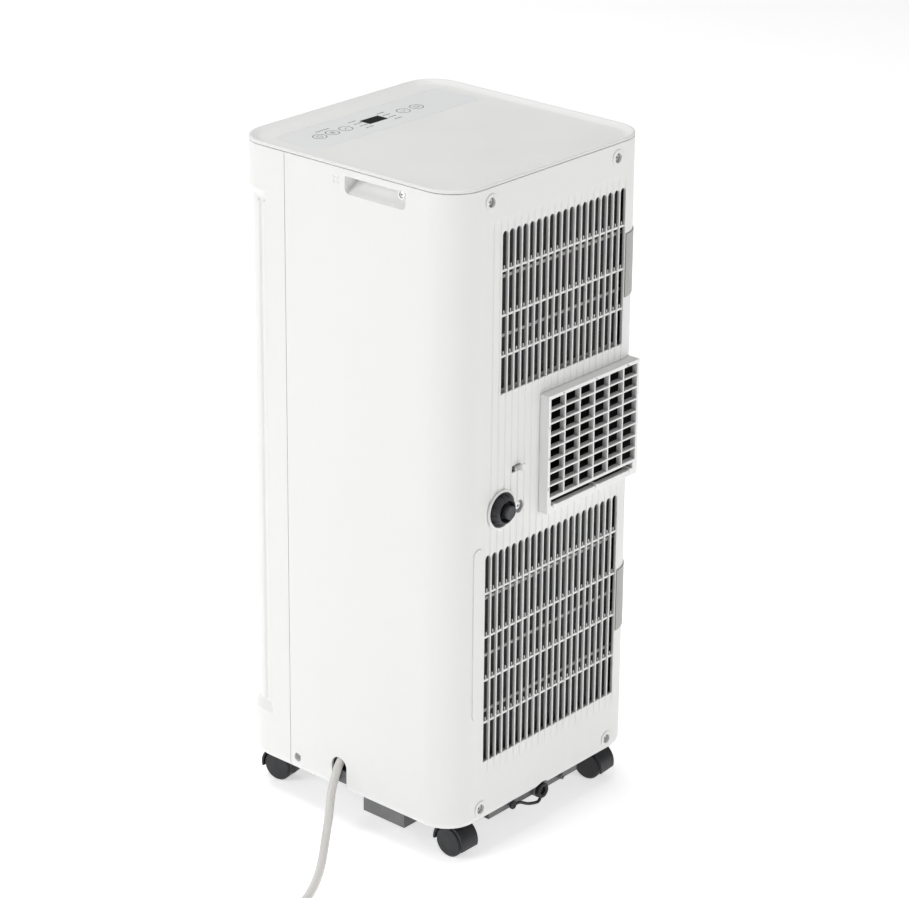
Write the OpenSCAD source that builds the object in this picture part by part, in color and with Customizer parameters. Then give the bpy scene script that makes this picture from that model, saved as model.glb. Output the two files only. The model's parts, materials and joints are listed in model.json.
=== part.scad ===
// Portable air conditioner: a slim cabinet on four castors, with a side-pull filter
// behind each rear grille, a rear exhaust collar and a louvred outlet at the front.
// The cabinet's front faces -Y and its rear +Y. The floor is z = 0.
// The cabinet's own heights count from a datum plane that lies castor_drop under the floor.

/* [Cabinet] */
// Height of the top rim above the cabinet's datum
body_h = 703; // [700:1:706]
// Width across the two sides
body_w = 285; // [284:1:288]
// Depth from the front to the rear wall
body_d = 285; // [284:1:288]
// Radius of the upright corners
corner_r = 36; // [35:0.5:37]
// Thickness of the moulded shells
wall = 2.6; // [2.4:0.1:2.8]
// Height of the shells' bottom edge above the datum
skirt_z = 45; // [44.5:0.5:45.5]
// Rounding along the bottom edge
skirt_r = 9; // [8.5:0.5:9.5]
// Where the front panel meets the rear shell
seam_y = -74; // [-75:1:-73]

/* [Front panel] */
// How far the middle of the front is set back
front_recess = 4; // [3:0.5:5]
// Width of the cold air outlet
outlet_w = 194; // [192:1:196]
// Number of upright vanes in the outlet
vane_count = 6; // [6]

/* [Rear grilles] */
// Distance from one slot to the next
slot_pitch = 9.7; // [9.6:0.05:9.8]
// Width of a slot
slot_w = 8; // [7.8:0.1:8.1]
// Number of slots in the upper grille
upper_slots = 19; // [19]
// Number of slots in the lower grille
lower_slots = 21; // [21]
// Depth of the fins between the slots
fin_depth = 3; // [2.8:0.2:3.4]

/* [Exhaust collar] */
// Width of the collar
collar_w = 140; // [138:1:141]
// Height of the collar
collar_h = 122; // [121:1:123]
// How far the collar stands out of the rear wall
collar_out = 11; // [10:0.5:12]
// How far the drain cap's knob stands out of the rear wall
knob_out = 13.5; // [13:0.5:14]

/* [Castors] */
// Radius of a castor wheel
wheel_r = 16; // [15.5:0.5:16]
// How far the datum lies under the floor
castor_drop = 5.5; // [5:0.5:6]
// Distance of the wheel's axle behind the swivel
trail = 11; // [10:0.5:11]
// Distance of each swivel from the cabinet's middle, along X and along Y
castor_pos = 107; // [106:0.5:107]

/* [Power cord] */
// Diameter of the cord
cord_d = 9; // [8.5:0.5:9]

/* [Hidden] */
$fn = 48;

// Colours
white = [0.95, 0.95, 0.94];
off_white = [0.90, 0.90, 0.89];
light_grey = [0.68, 0.68, 0.66];
mid_grey = [0.42, 0.43, 0.44];
dark_grey = [0.25, 0.26, 0.27];
black = [0.08, 0.08, 0.09];
steel = [0.75, 0.76, 0.78];
copper = [0.72, 0.45, 0.28];
fin_metal = [0.80, 0.81, 0.83];
pale_blue = [0.91, 0.92, 0.93];
board_green = [0.12, 0.35, 0.20];

// The cabinet is moved back so that the footprint, knob included, is centred on the origin
cab_shift = -knob_out / 2;
hw = body_w / 2;
hd = body_d / 2;
eps = 0.1;
gap = 0.4;
big = 400;
shell_top = body_h - 3.6;
shell_base = skirt_z - 1.5;
cover_skirt_z = shell_top - 5;
pocket_top = cover_skirt_z - gap;

// Rear grilles
slot_x0 = -102.65;
grille_x_low = slot_x0 - slot_pitch / 2 - 1.5;
upper_x_high = slot_x0 + slot_pitch * (upper_slots - 0.5) + 1.5;
lower_x_high = slot_x0 + slot_pitch * (lower_slots - 0.5) + 1.5;
upper_z = [490.6, 652.6];
lower_z = [109.2, 329.9];
upper_bars = [528, 568.8, 613.5];
lower_bars = [151.7, 197.1, 243.4, 289.8];
bar_t = 2.2;
bar_inset = 1.1;
flute_depth = 0.9;
flute_flat = 2;
flute_z = [93, 667];
flute_run = 12;

// Filters
filter_t = 4;
filter_y = hd - 11.9;
upper_filter_z = [485, 662];
lower_filter_z = [99, 340];
filter_x_high = 101;
upper_tab_z = [539, 605];
lower_tab_z = [178.5, 246.5];
tab_x = -108;
rail_t = 3.4;
mesh_t = 0.8;

// Exhaust collar, measured on the rear wall
collar_x = [-122.5, -122.5 + collar_w];
collar_z = [474 - collar_h, 474];
collar_back = hd - 9;
collar_rim = 3.6;
grid_cols = 6;
grid_rows = 8;
grid_wall = 1.7;
grid_depth = 6;
rail_h = 8.3;
foot_rim = 6.6;

// Drains and small rear features
mid_drain = [73.4, 372.4];
mid_drain_r = 20;
mid_screw = [45.8, 366.8];
hook_pos = [51, 411];
low_drain = [1.5, 40];
rear_screw_pos = [[92.9, 685.3], [-92.9, 685.3], [98.8, 59.5], [-98.8, 59.5]];
side_screw_pos = [-64.2, 59.4];

// Handles
handle_y = [5, 81];
handle_z = [676, 692.5];
handle_depth = 22;
handle_r = 4.5;
handle_screw = [hw - 2.2, 74.5, 689];

// Cord notch and route
notch_y = -6.5;
notch_r = 10;
notch_top = 80;
gland_tip = [130, -7, 78.5];
gland_len = 24;
cord_r = cord_d / 2;
coil_c = [352, 146];
coil_r_in = 45;
coil_r_out = 54.5;
coil_h = 33;
plug_c = [318, 238];
plug_turn = 54;
cord_points = [
    [130, -7, 78.5], [134, -7, 74.5], [138, -7, 70.5], [143, -7, 64.5], [148, -6, 57.5],
    [153, -5, 49], [158, -3, 40], [163, 0, 31], [169, 4, 21.5], [177, 9, 13],
    [188, 17, 7.5], [202, 28, 5], [220, 42, 4.6], [240, 56, 4.6], [262, 69, 4.6],
    [285, 79, 4.6], [310, 88, 4.6], [332, 96, 4.6], [352, 101, 4.6]
];
tail_points = [
    [384, 190, 11], [372, 199, 10.6], [360, 208, 10.5], [350, 215, 10.5], [339, 222.7, 10.5]
];
cord_sides = 10;

// Base
pan_inset = 12;
pan_z = [44, 50];
pan_rim_z = 78;
lip = [[-62, 112, 35], [75.5, 134, 45]];
sump = [[82, 18, 26], [133, 73, 45]];
socket_r = 4.06;
stem_r = 4;

// Louver and vanes
outlet_z = [564.5, 630];
duct_z = [564, 630];
duct_wall = 2.4;
flap_axis = [-134, 570];
flap_w = 186;
flap_pin_r = 2;
vane_y = -112;
vane_pitch = 28;
vane_z = [567, 628];
vane_pin_r = 1.5;
crank = 10;
crank_r = 1.3;
link_z = [564.6, 566.5];

// Blowers
evap_axis = [0, 579];
cond_axis = [-4, 232];
shaft_r = 4;
fit = 0.05;

// ---------------------------------------------------------------- shared shapes

// Places what is drawn in the cabinet's own coordinates
module cab() {
    translate([0, cab_shift, -castor_drop]) children();
}

// Places what stands or lies on the floor
module on_floor() {
    translate([0, cab_shift, 0]) children();
}

module box(low, high) {
    translate(low) cube(high - low);
}

// A plate with rounded corners, drawn flat and centred
module round_plate(w, d, r) {
    square([w - 2 * r, d], center = true);
    square([w, d - 2 * r], center = true);
    for (x = [-1, 1], y = [-1, 1]) {
        translate([x * (w / 2 - r), y * (d / 2 - r)]) circle(r);
    }
}

// A block with rounded upright corners, whose outer wall follows a profile: children() is
// drawn flat, from the corner's centre line at x = 0 outwards
module profile_block(w, d, r, z_low, z_high) {
    translate([0, 0, z_low]) {
        linear_extrude(z_high - z_low) square([w - 2 * r, d - 2 * r], center = true);
    }
    for (a = [0 : 3]) {
        across = a % 2 == 0 ? w : d;
        along = a % 2 == 0 ? d : w;
        rotate([0, 0, a * 90]) {
            translate([across / 2 - r, along / 2 - r, 0]) {
                rotate([90, 0, 0]) linear_extrude(along - 2 * r) children();
                rotate_extrude(angle = 90) children();
            }
        }
    }
}

// Wall profile with a rounded bottom edge
module foot_profile(r, f, z_low, z_high) {
    translate([0, z_low]) square([r - f, z_high - z_low]);
    translate([0, z_low + f]) square([r, z_high - z_low - f]);
    intersection() {
        translate([r - f, z_low + f]) circle(f);
        translate([r - f, z_low]) square([f, f]);
    }
}

module plain_block(inset, z_high) {
    r = corner_r - inset;
    profile_block(body_w - 2 * inset, body_d - 2 * inset, r, shell_base + inset, z_high) {
        foot_profile(r, skirt_r - inset, shell_base + inset, z_high);
    }
}

// The opening under the cabinet, and the cut that ends the shells at the skirt
module skirt_cut() {
    translate([0, 0, shell_base - 1]) {
        linear_extrude(wall + 3) {
            round_plate(body_w - 16, body_d - 16, corner_r - 8);
        }
    }
    box([-big, -big, shell_base - 5], [big, big, skirt_z]);
}

// Draws children() flat on the rear wall, x to x and y to z, and carries them forwards
module on_rear(y_high, depth) {
    translate([0, y_high, 0]) rotate([90, 0, 0]) linear_extrude(depth) children();
}

// A round bar along Y on the rear wall
module rear_bar(pos, r, y_low, y_high) {
    translate([pos[0], y_low, pos[1]]) rotate([-90, 0, 0]) cylinder(r = r, h = y_high - y_low);
}

// A round bar along X
module x_bar(y, z, r, x_low, x_high) {
    translate([x_low, y, z]) rotate([0, 90, 0]) cylinder(r = r, h = x_high - x_low);
}

// A screw with a cross recess, its head's top at z = 0, pointing down
module screw(r, depth) {
    difference() {
        union() {
            translate([0, 0, -1.6]) cylinder(r = r, h = 1.6);
            translate([0, 0, -depth]) cylinder(r = r / 2, h = depth - 1);
        }
        for (a = [0, 90]) {
            rotate([0, 0, a]) translate([0, 0, -0.4]) cube([r * 1.2, r * 0.3, 1.6], center = true);
        }
    }
}

// ---------------------------------------------------------------- rear shell

module slot_row(count, z) {
    for (k = [0 : count - 1]) {
        translate([slot_x0 + k * slot_pitch, 0]) {
            translate([-slot_w / 2, z[0]]) square([slot_w, z[1] - z[0] - slot_w / 2]);
            translate([0, z[1] - slot_w / 2]) circle(slot_w / 2);
        }
    }
}

// Shallow V flutes that run up the rear wall and fade out at both ends
module flutes() {
    intersection() {
        translate([0, 0, flute_z[0]]) {
            linear_extrude(flute_z[1] - flute_z[0]) {
                for (k = [0 : lower_slots - 1]) {
                    translate([slot_x0 + k * slot_pitch, hd]) {
                        polygon([
                            [-(slot_pitch - flute_flat) / 2, 0],
                            [-3, -flute_depth],
                            [(slot_pitch - flute_flat) / 2, 0],
                            [(slot_pitch - flute_flat) / 2, 1],
                            [-(slot_pitch - flute_flat) / 2, 1]
                        ]);
                    }
                }
            }
        }
        translate([-hw, 0, 0]) rotate([90, 0, 90]) linear_extrude(body_w) {
            polygon([
                [hd + 2, flute_z[0]],
                [hd, flute_z[0]],
                [hd - flute_depth, flute_z[0] + flute_run],
                [hd - flute_depth, flute_z[1] - flute_run],
                [hd, flute_z[1]],
                [hd + 2, flute_z[1]]
            ]);
        }
    }
}

// The thick wall that the slots are cut in, with the filter's two rails
module grille_wall(x_high, filter_z) {
    z = [filter_z[0] - rail_t, filter_z[1] + rail_t];
    box([grille_x_low, hd - fin_depth, z[0]], [x_high, hd - 1.5, z[1]]);
    for (low = [z[0], filter_z[1]]) {
        box([grille_x_low, filter_y - gap - rail_t, low], [x_high, hd - fin_depth + eps, low + rail_t]);
    }
    for (low = [z[0], filter_z[1] - 3]) {
        box([grille_x_low, filter_y - gap - rail_t, low], [x_high, filter_y - gap, low + rail_t + 3]);
    }
}

// The slit that a filter slides out of, and the notch that its pull tab fills
module filter_slit(filter_z, tab_z) {
    box([-hw - 1, filter_y - gap, filter_z[0]], [tab_x - 4, filter_y + filter_t + gap, filter_z[1]]);
    box([-hw - 1, filter_y - gap, tab_z[0]], [tab_x, hd + 2, tab_z[1]]);
}

module handle_profile() {
    polygon([
        [hw + 1, handle_z[0] - 1],
        [hw + 1, handle_z[1]],
        [hw - handle_depth, handle_z[1]],
        [hw - handle_depth, handle_z[1] - 5],
        [hw - 3, handle_z[0]]
    ]);
}

// Draws children() flat, x to x and y to z, and carries them along Y over the handle
module along_handle(extra) {
    translate([0, handle_y[1] + extra, 0]) {
        rotate([90, 0, 0]) linear_extrude(handle_y[1] - handle_y[0] + 2 * extra) children();
    }
}

// The recess's outline on the side wall, with round lower corners
module handle_cut() {
    intersection() {
        along_handle(0) handle_profile();
        translate([hw - 40, 0, 0]) rotate([90, 0, 90]) linear_extrude(60) {
            hull() {
                for (y = [handle_y[0] + handle_r, handle_y[1] - handle_r]) {
                    translate([y, handle_z[0] + handle_r - 0.5]) circle(handle_r);
                }
                translate([handle_y[0], handle_z[1] - 2]) {
                    square([handle_y[1] - handle_y[0], 3]);
                }
            }
        }
    }
}

// A boss at one end of the recess, for the screw that holds the top cover
module handle_boss() {
    difference() {
        x_bar(handle_screw[1], handle_screw[2], 4.6, hw - 15, hw - 1.6);
        x_bar(handle_screw[1], handle_screw[2], 3.2, hw - 3.8, hw);
        x_bar(handle_screw[1], handle_screw[2], 1.45, hw - 12, hw);
    }
}

module handle_pocket() {
    along_handle(wall) {
        polygon([
            [hw - 1, handle_z[0] - 4],
            [hw - 1, pocket_top],
            [hw - handle_depth - wall, pocket_top],
            [hw - handle_depth - wall, handle_z[1] - 9]
        ]);
    }
}

module both_sides() {
    children();
    mirror([1, 0, 0]) children();
}

module rear_shell() {
    color(white) cab() {
        difference() {
            union() {
                difference() {
                    plain_block(0, shell_top);
                    plain_block(wall, shell_top + 5);
                    skirt_cut();
                }
                grille_wall(upper_x_high, upper_filter_z);
                grille_wall(lower_x_high, lower_filter_z);
                both_sides() handle_pocket();
                for (p = rear_screw_pos) {
                    rear_bar(p, 8.2, hd - 11, hd + 0.8);
                }
                rear_bar(mid_screw, 8.4, hd - 11, hd - 1);
                box([98.5, hd - 1, 166], [112.5, hd + 0.9, 334]);
                rear_bar([105.5, 166], 7, hd - 1, hd + 0.9);
                rear_bar([105.5, 334], 7, hd - 1, hd + 0.9);
                both_sides() {
                    x_bar(side_screw_pos[0], side_screw_pos[1], 7, hw - 9, hw - 1);
                }
            }
            box([-big, -big, 0], [big, seam_y + 0.35, body_h + 10]);
            flutes();
            on_rear(hd + 3, fin_depth + 5) {
                slot_row(upper_slots, upper_z);
                slot_row(lower_slots, lower_z);
            }
            filter_slit(upper_filter_z, upper_tab_z);
            filter_slit(lower_filter_z, lower_tab_z);
            box([collar_x[0] - gap, hd - 30, collar_z[0] - gap],
                [collar_x[1] + gap, hd + 5, collar_z[1] + gap]);
            rear_bar(mid_drain, mid_drain_r - 1.6, hd - 9, hd + 3);
            for (p = rear_screw_pos) {
                rear_bar(p, 4.9, hd - 3.2, hd + 3);
                rear_bar(p, 1.95, hd - 12, hd);
            }
            rear_bar(mid_screw, 6.6, hd - 4, hd + 3);
            rear_bar(mid_screw, 2.1, hd - 12, hd);
            box([hook_pos[0] - 6, hd - 5, hook_pos[1] - 6], [hook_pos[0] + 7, hd + 2, hook_pos[1] + 1]);
            rear_bar(low_drain, 10.8, hd - 20, hd + 3);
            both_sides() {
                handle_cut();
                x_bar(handle_screw[1], handle_screw[2], 4.6, hw - 1.6, hw + 1);
                x_bar(side_screw_pos[0], side_screw_pos[1], 4.6, hw - 5, hw + 1);
                x_bar(side_screw_pos[0], side_screw_pos[1], 1.8, hw - 10, hw);
            }
            x_bar(notch_y, notch_top - notch_r, notch_r, hw - 10, hw + 1);
            box([hw - 12, notch_y - notch_r, 0], [hw + 1, notch_y + notch_r, notch_top - notch_r]);
        }
        for (z = upper_bars) {
            box([grille_x_low + 1, hd - fin_depth, z - bar_t / 2],
                [upper_x_high - 1, hd - bar_inset, z + bar_t / 2]);
        }
        for (z = lower_bars) {
            box([grille_x_low + 1, hd - fin_depth, z - bar_t / 2],
                [lower_x_high - 1, hd - bar_inset, z + bar_t / 2]);
        }
        both_sides() handle_boss();
        for (y = [-9.5, -4.5], z = [684.5, 689]) {
            x_bar(y, z, 1.2, hw - 1, hw + 0.35);
        }
    }
}

// ---------------------------------------------------------------- front panel

// Wall profile with the middle of the height set back between two sloped ledges
module front_profile(r, f, inset, z_high) {
    z_low = shell_base + inset;
    difference() {
        foot_profile(r, f, z_low, z_high);
        polygon([
            [r + 1, 96],
            [r, 97],
            [r - front_recess, 106],
            [r - front_recess, 646],
            [r, 655],
            [r + 1, 656]
        ]);
    }
}

module front_block(inset, z_high) {
    r = corner_r - inset;
    profile_block(body_w - 2 * inset, body_d - 2 * inset, r, shell_base + inset, z_high) {
        front_profile(r, skirt_r - inset, inset, z_high);
    }
}

module side_ribs() {
    for (p = [[hw - front_recess - 2.2, -103.6], [hw - front_recess - 2.8, -112.6]]) {
        translate([p[0], p[1], 111]) {
            cylinder(r = 3.9, h = 530);
            sphere(3.9);
        }
        translate([p[0], p[1], 641]) sphere(3.9);
    }
}

module front_panel() {
    color(white) cab() {
        difference() {
            union() {
                difference() {
                    plain_block(0, shell_top);
                    plain_block(wall, shell_top + 5);
                    box([-big, -big, 0], [big, -99, body_h + 10]);
                }
                difference() {
                    front_block(0, shell_top);
                    front_block(wall, shell_top + 5);
                    box([-big, -99, 0], [big, big, body_h + 10]);
                }
                both_sides() box([hw - 7.2, -102, 98], [hw - 2, -97, 654]);
                both_sides() side_ribs();
            }
            skirt_cut();
            box([-big, seam_y - 0.25, 0], [big, big, body_h + 10]);
            box([-outlet_w / 2, -hd - 5, outlet_z[0]], [outlet_w / 2, -hd + 12, outlet_z[1]]);
        }
    }
}

// ---------------------------------------------------------------- top

module cover_profile(z_flat) {
    polygon([
        [0, z_flat - wall],
        [corner_r - wall - gap - 2, z_flat - wall],
        [corner_r - wall - gap - 2, cover_skirt_z],
        [corner_r - wall - gap, cover_skirt_z],
        [corner_r - wall - gap, shell_top + 0.7],
        [corner_r, shell_top + 0.7],
        [corner_r, body_h - 0.9],
        [corner_r - 0.9, body_h],
        [corner_r - 2.6, body_h],
        [corner_r - 5, body_h - 1.2],
        [corner_r - 9, body_h - 2.9],
        [corner_r - 12, z_flat],
        [0, z_flat]
    ]);
}

film_t = 0.4;
film_z = body_h - 3.4 - film_t;
film_c = [0, -83];
film_w = 236;
film_d = 58;
display = [26.4, 14.4];
display_x = 7.6;

module top_cover() {
    z_flat = body_h - 3.4;
    color(off_white) cab() {
        difference() {
            profile_block(body_w, body_d, corner_r, z_flat - wall, z_flat) cover_profile(z_flat);
            translate([film_c[0], film_c[1], film_z]) {
                linear_extrude(5) round_plate(film_w + 0.3, film_d + 0.3, 9.15);
            }
        }
    }
}

module control_film() {
    color(pale_blue) cab() {
        translate([film_c[0], film_c[1], film_z]) {
            difference() {
                linear_extrude(film_t) round_plate(film_w, film_d, 9);
                translate([display_x - film_c[0], 0, 0.2]) {
                    cube([display[0] + 0.3, display[1] + 0.3, 1], center = true);
                }
            }
        }
    }
}

module display_window() {
    color(black) cab() {
        translate([display_x, film_c[1], film_z + film_t / 2]) {
            cube([display[0], display[1], film_t], center = true);
        }
    }
}

module control_board() {
    color(board_green) cab() {
        box([-95, -118, 684], [95, -70, 685.6]);
        box([-7, -91, 685.6], [22, -75, 690]);
        for (x = [-54.5, -35, 48, 67, 84.5]) {
            translate([x, film_c[1], 685.5]) cylinder(r = 6, h = 4);
        }
        for (x = [-85, 85]) {
            box([x - 3, -76, 677], [x + 3, -71, 684.1]);
        }
    }
}

// ---------------------------------------------------------------- base

module base_pan() {
    color(mid_grey) cab() {
        difference() {
            union() {
                translate([0, 0, pan_z[0]]) {
                    linear_extrude(pan_rim_z - pan_z[0]) {
                        round_plate(body_w - 2 * pan_inset, body_d - 2 * pan_inset, corner_r - pan_inset);
                    }
                }
                box(lip[0], lip[1] + [0, 0, 4]);
                rear_bar(low_drain, 8.2, 118, hd - 4);
                intersection() {
                    rear_bar(low_drain, 10.2, 118, hd - 4);
                    box([-20, 110, low_drain[1] - 2], [20, hd, 60]);
                }
                rear_bar([-32, 41.6], 3, 128, hd - 2);
                rear_bar([46, 41.5], 2.6, 130, hd - 2);
            }
            translate([0, 0, pan_z[1]]) {
                linear_extrude(pan_rim_z) {
                    round_plate(body_w - 2 * pan_inset - 5, body_d - 2 * pan_inset - 5,
                                corner_r - pan_inset - 2.5);
                }
            }
            box(sump[0] + [2.4, 2.4, 0], sump[1] + [-2.4, -2.4, 8]);
            box(lip[0] + [2.4, 2.4, 2.4], lip[1] + [-2.4, -2.4, 8]);
            rear_bar(low_drain, 5.1, 120, hd);
            rear_bar([-32, 41.6], 1.4, 134, hd);
            for (x = [-1, 1], y = [-1, 1]) {
                translate([x * castor_pos, y * castor_pos, pan_z[0] - 1]) cylinder(r = 8.5, h = 8);
            }
            translate([hw - pan_inset - 4, notch_y - 12, 58]) cube([8, 24, 30]);
        }
        for (x = [-1, 1], y = [-1, 1]) {
            translate([x * castor_pos, y * castor_pos, pan_z[0]]) {
                difference() {
                    cylinder(r = 9, h = 22);
                    translate([0, 0, -1]) cylinder(r = socket_r, h = 20);
                }
            }
        }
    }
}

// The deep part of the base, under the compressor's side, where water gathers
module drain_sump() {
    color(mid_grey) cab() difference() {
        box(sump[0], [sump[1][0], sump[1][1], pan_z[0]]);
        box(sump[0] + [2.4, 2.4, 2.4], sump[1] + [-2.4, -2.4, 8]);
    }
}

// ---------------------------------------------------------------- exhaust

module exhaust_collar() {
    cell_w = (collar_w - 2 * collar_rim - (grid_cols - 1) * grid_wall) / grid_cols;
    grid_z = [collar_z[0] + foot_rim + rail_h + 1.4, collar_z[1] - collar_rim];
    cell_h = (grid_z[1] - grid_z[0] - (grid_rows - 1) * grid_wall) / grid_rows;
    y_front = hd + collar_out;
    color(off_white) cab() {
        difference() {
            box([collar_x[0], collar_back, collar_z[0]], [collar_x[1], y_front, collar_z[1]]);
            box([collar_x[0] + 2.6, collar_back - 1, collar_z[0] + 2.6],
                [collar_x[1] - 2.6, y_front - grid_depth, collar_z[1] - 2.6]);
            for (i = [0 : grid_cols - 1], j = [0 : grid_rows - 1]) {
                translate([collar_x[0] + collar_rim + i * (cell_w + grid_wall), y_front - grid_depth - 1,
                           grid_z[0] + j * (cell_h + grid_wall)]) {
                    cube([cell_w, grid_depth + 2, cell_h]);
                }
            }
            for (i = [0 : 2]) {
                x_low = collar_x[0] + [2.4, 50, 110][i];
                x_high = collar_x[0] + [48, 108, collar_w - 8.6][i];
                box([max(x_low, collar_x[0] + 7), y_front - 9, collar_z[0] + foot_rim],
                    [x_high + 3, y_front + 1, collar_z[0] + foot_rim + rail_h - 1.5]);
            }
            for (i = [0 : 2]) {
                box([collar_x[0] + [17, 66, 116][i], y_front - 4, collar_z[1] - 2.6],
                    [collar_x[0] + [19.5, 68.5, 118.5][i], y_front + 1, collar_z[1] - 1.2]);
                box([collar_x[1] - 2.6, y_front - 4, collar_z[0] + [24, 56, 88][i]],
                    [collar_x[1] - 1.2, y_front + 1, collar_z[0] + [27, 59, 91][i]]);
            }
        }
        for (x = [collar_x[0] + 9, collar_x[0] + 62, collar_x[1] - 13]) {
            box([x, y_front - 9, collar_z[0] + foot_rim - 1.2],
                [x + 4, y_front + 0.9, collar_z[0] + foot_rim + 1.4]);
            box([x, y_front - 1.4, collar_z[0] + foot_rim - 2.6],
                [x + 4, y_front + 0.9, collar_z[0] + foot_rim]);
        }
    }
}

duct_x = [collar_x[0] + 3.5, collar_x[1] - 3.5];
exhaust_z = [346, collar_z[1] - 3.5];
exhaust_y = [16, collar_back - 0.4];

// The duct's end, which lines the collar
module sleeve() {
    y = [collar_back - 1, hd + collar_out - grid_depth - gap];
    low = [collar_x[0] + 3.2, y[0], collar_z[0] + 3.2];
    high = [collar_x[1] - 3.2, y[1], collar_z[1] - 3.2];
    difference() {
        box(low, high);
        box(low + [1, -1, 1], high + [-1, 1, -1]);
    }
}

module exhaust_duct() {
    color(dark_grey) cab() {
        sleeve();
        difference() {
            box([duct_x[0], exhaust_y[0], exhaust_z[0]], [duct_x[1], exhaust_y[1], exhaust_z[1]]);
            box([duct_x[0] + 2, exhaust_y[0] + 2, exhaust_z[0] + 2],
                [duct_x[1] - 2, exhaust_y[1] + 1, exhaust_z[1] - 2]);
            box([duct_x[0] + 12, exhaust_y[0] + 8, exhaust_z[0] - 1],
                [duct_x[1] - 12, 84, exhaust_z[0] + 3]);
        }
    }
}

// ---------------------------------------------------------------- drains and screws

module rear_turn(pos, y) {
    translate([pos[0], y, pos[1]]) rotate([-90, 0, 0]) rotate_extrude() children();
}

module mid_drain_spout() {
    color(white) cab() {
        rear_turn(mid_drain, hd) {
            polygon([
                [5.95, -34], [8.5, -34], [8.5, -9.2], [mid_drain_r - 1.7, -9.2],
                [mid_drain_r - 1.7, 0.1], [mid_drain_r, 0.1], [mid_drain_r, 1.4],
                [mid_drain_r - 0.6, 2], [mid_drain_r - 2.2, 2], [mid_drain_r - 2.2, -7.4], [5.95, -7.4]
            ]);
        }
    }
}

module mid_drain_cap() {
    color(dark_grey) cab() {
        rear_turn(mid_drain, hd) {
            polygon([
                [0, -24], [5.88, -24], [5.88, -7], [17.3, -7], [17.3, -0.6], [16.7, 0], [15.9, 0],
                [15.5, -1], [12.9, 7.8], [12.2, 8.6], [11.2, 8.6], [10.7, 7.8], [10.5, 1.5],
                [7.1, 1.5], [6.8, knob_out - 0.8], [6.2, knob_out], [0, knob_out]
            ]);
        }
    }
}

module lower_drain_plug() {
    color(black) cab() {
        rear_turn(low_drain, hd - 3.6) {
            polygon([
                [0, -14], [5.02, -14], [5.02, 0], [7.6, 0], [8, 0.4], [8, 3.6], [7.4, 4.4],
                [5.2, 4.4], [4, 3.2], [4, 0.8], [0, 0.8]
            ]);
        }
    }
}

// The strap that keeps the plug on the base, from the pin towards the plug's ring
strap_y = hd - 1.6;
strap_points = [
    [44, strap_y, 41.3], [38, strap_y, 41], [32, strap_y, 38.5], [27, strap_y, 35.6],
    [22, strap_y, 33.2], [16, strap_y, 31], [11, strap_y, 30]
];
strap_r = 1.7;

module drain_strap() {
    color(black) cab() {
        tube(strap_points, strap_r);
        translate([46, hd - 3.4, 41.5]) rotate([-90, 0, 0]) cylinder(r = 3.6, h = 3.2);
    }
}

module rear_screws() {
    color(steel) cab() {
        for (p = rear_screw_pos) {
            translate([p[0], hd - 1.6, p[1]]) rotate([-90, 0, 0]) screw(3.9, 8.5);
        }
        translate([mid_screw[0], hd - 2.3, mid_screw[1]]) rotate([-90, 0, 0]) screw(4.2, 8);
    }
}

module side_screws() {
    color(steel) cab() both_sides() {
        translate([hw - 3.2, side_screw_pos[0], side_screw_pos[1]]) rotate([0, 90, 0]) screw(3.6, 6);
        translate(handle_screw) rotate([0, 90, 0]) screw(2.9, 8);
    }
}

module wall_hook() {
    x = [hook_pos[0] - 4.5, hook_pos[0] + 1];
    z = hook_pos[1];
    color(white) cab() {
        box([x[0], hd - 4.8, z - 6], [x[1], hd - 1.2, z - 0.4]);
        box([x[0], hd - 4.8, z - 3], [x[1], hd + 8, z - 0.4]);
        box([x[0], hd + 5.6, z - 3], [x[1], hd + 8, z + 3]);
    }
}

// ---------------------------------------------------------------- filters

module filter_frame(z, tab_z, bars) {
    low = filter_y;
    high = filter_y + filter_t;
    z_low = z[0] + gap;
    z_high = z[1] - gap;
    intersection() {
        union() {
            difference() {
                box([-hw, low, z_low], [filter_x_high, high, z_high]);
                box([-118, low - 1, z_low + 6], [filter_x_high - 6, high + 1, z_high - 6]);
            }
            for (x = [-41, 27]) {
                box([x, low, z_low], [x + 5, high, z_high]);
            }
            for (b = bars) {
                box([-118, low + 0.6, b - 1.5], [filter_x_high, high - 0.6, b + 1.5]);
            }
        }
        linear_extrude(body_h) round_plate(body_w, body_d, corner_r);
    }
    // The pull tab fills the notch in the rear corner
    intersection() {
        translate([0, 0, tab_z[0] + gap]) linear_extrude(tab_z[1] - tab_z[0] - 2 * gap) {
            difference() {
                round_plate(body_w + 2, body_d + 2, corner_r + 1);
                round_plate(body_w - 7, body_d - 7, corner_r - 3.5);
            }
        }
        box([-hw - 2, low, 0], [tab_x - gap, hd + 3, body_h]);
    }
}

module filter_mesh(z) {
    box([-119, filter_y + 1.6, z[0] + 5], [filter_x_high - 4, filter_y + 1.6 + mesh_t, z[1] - 5]);
}

module upper_filter_frame() {
    color(light_grey) cab() filter_frame(upper_filter_z, upper_tab_z, [545, 604]);
}

module upper_filter_mesh() {
    color(dark_grey) cab() filter_mesh(upper_filter_z);
}

module lower_filter_frame() {
    color(light_grey) cab() filter_frame(lower_filter_z, lower_tab_z, [159, 219, 280]);
}

module lower_filter_mesh() {
    color(dark_grey) cab() filter_mesh(lower_filter_z);
}

// ---------------------------------------------------------------- heat exchangers and air path

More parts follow.
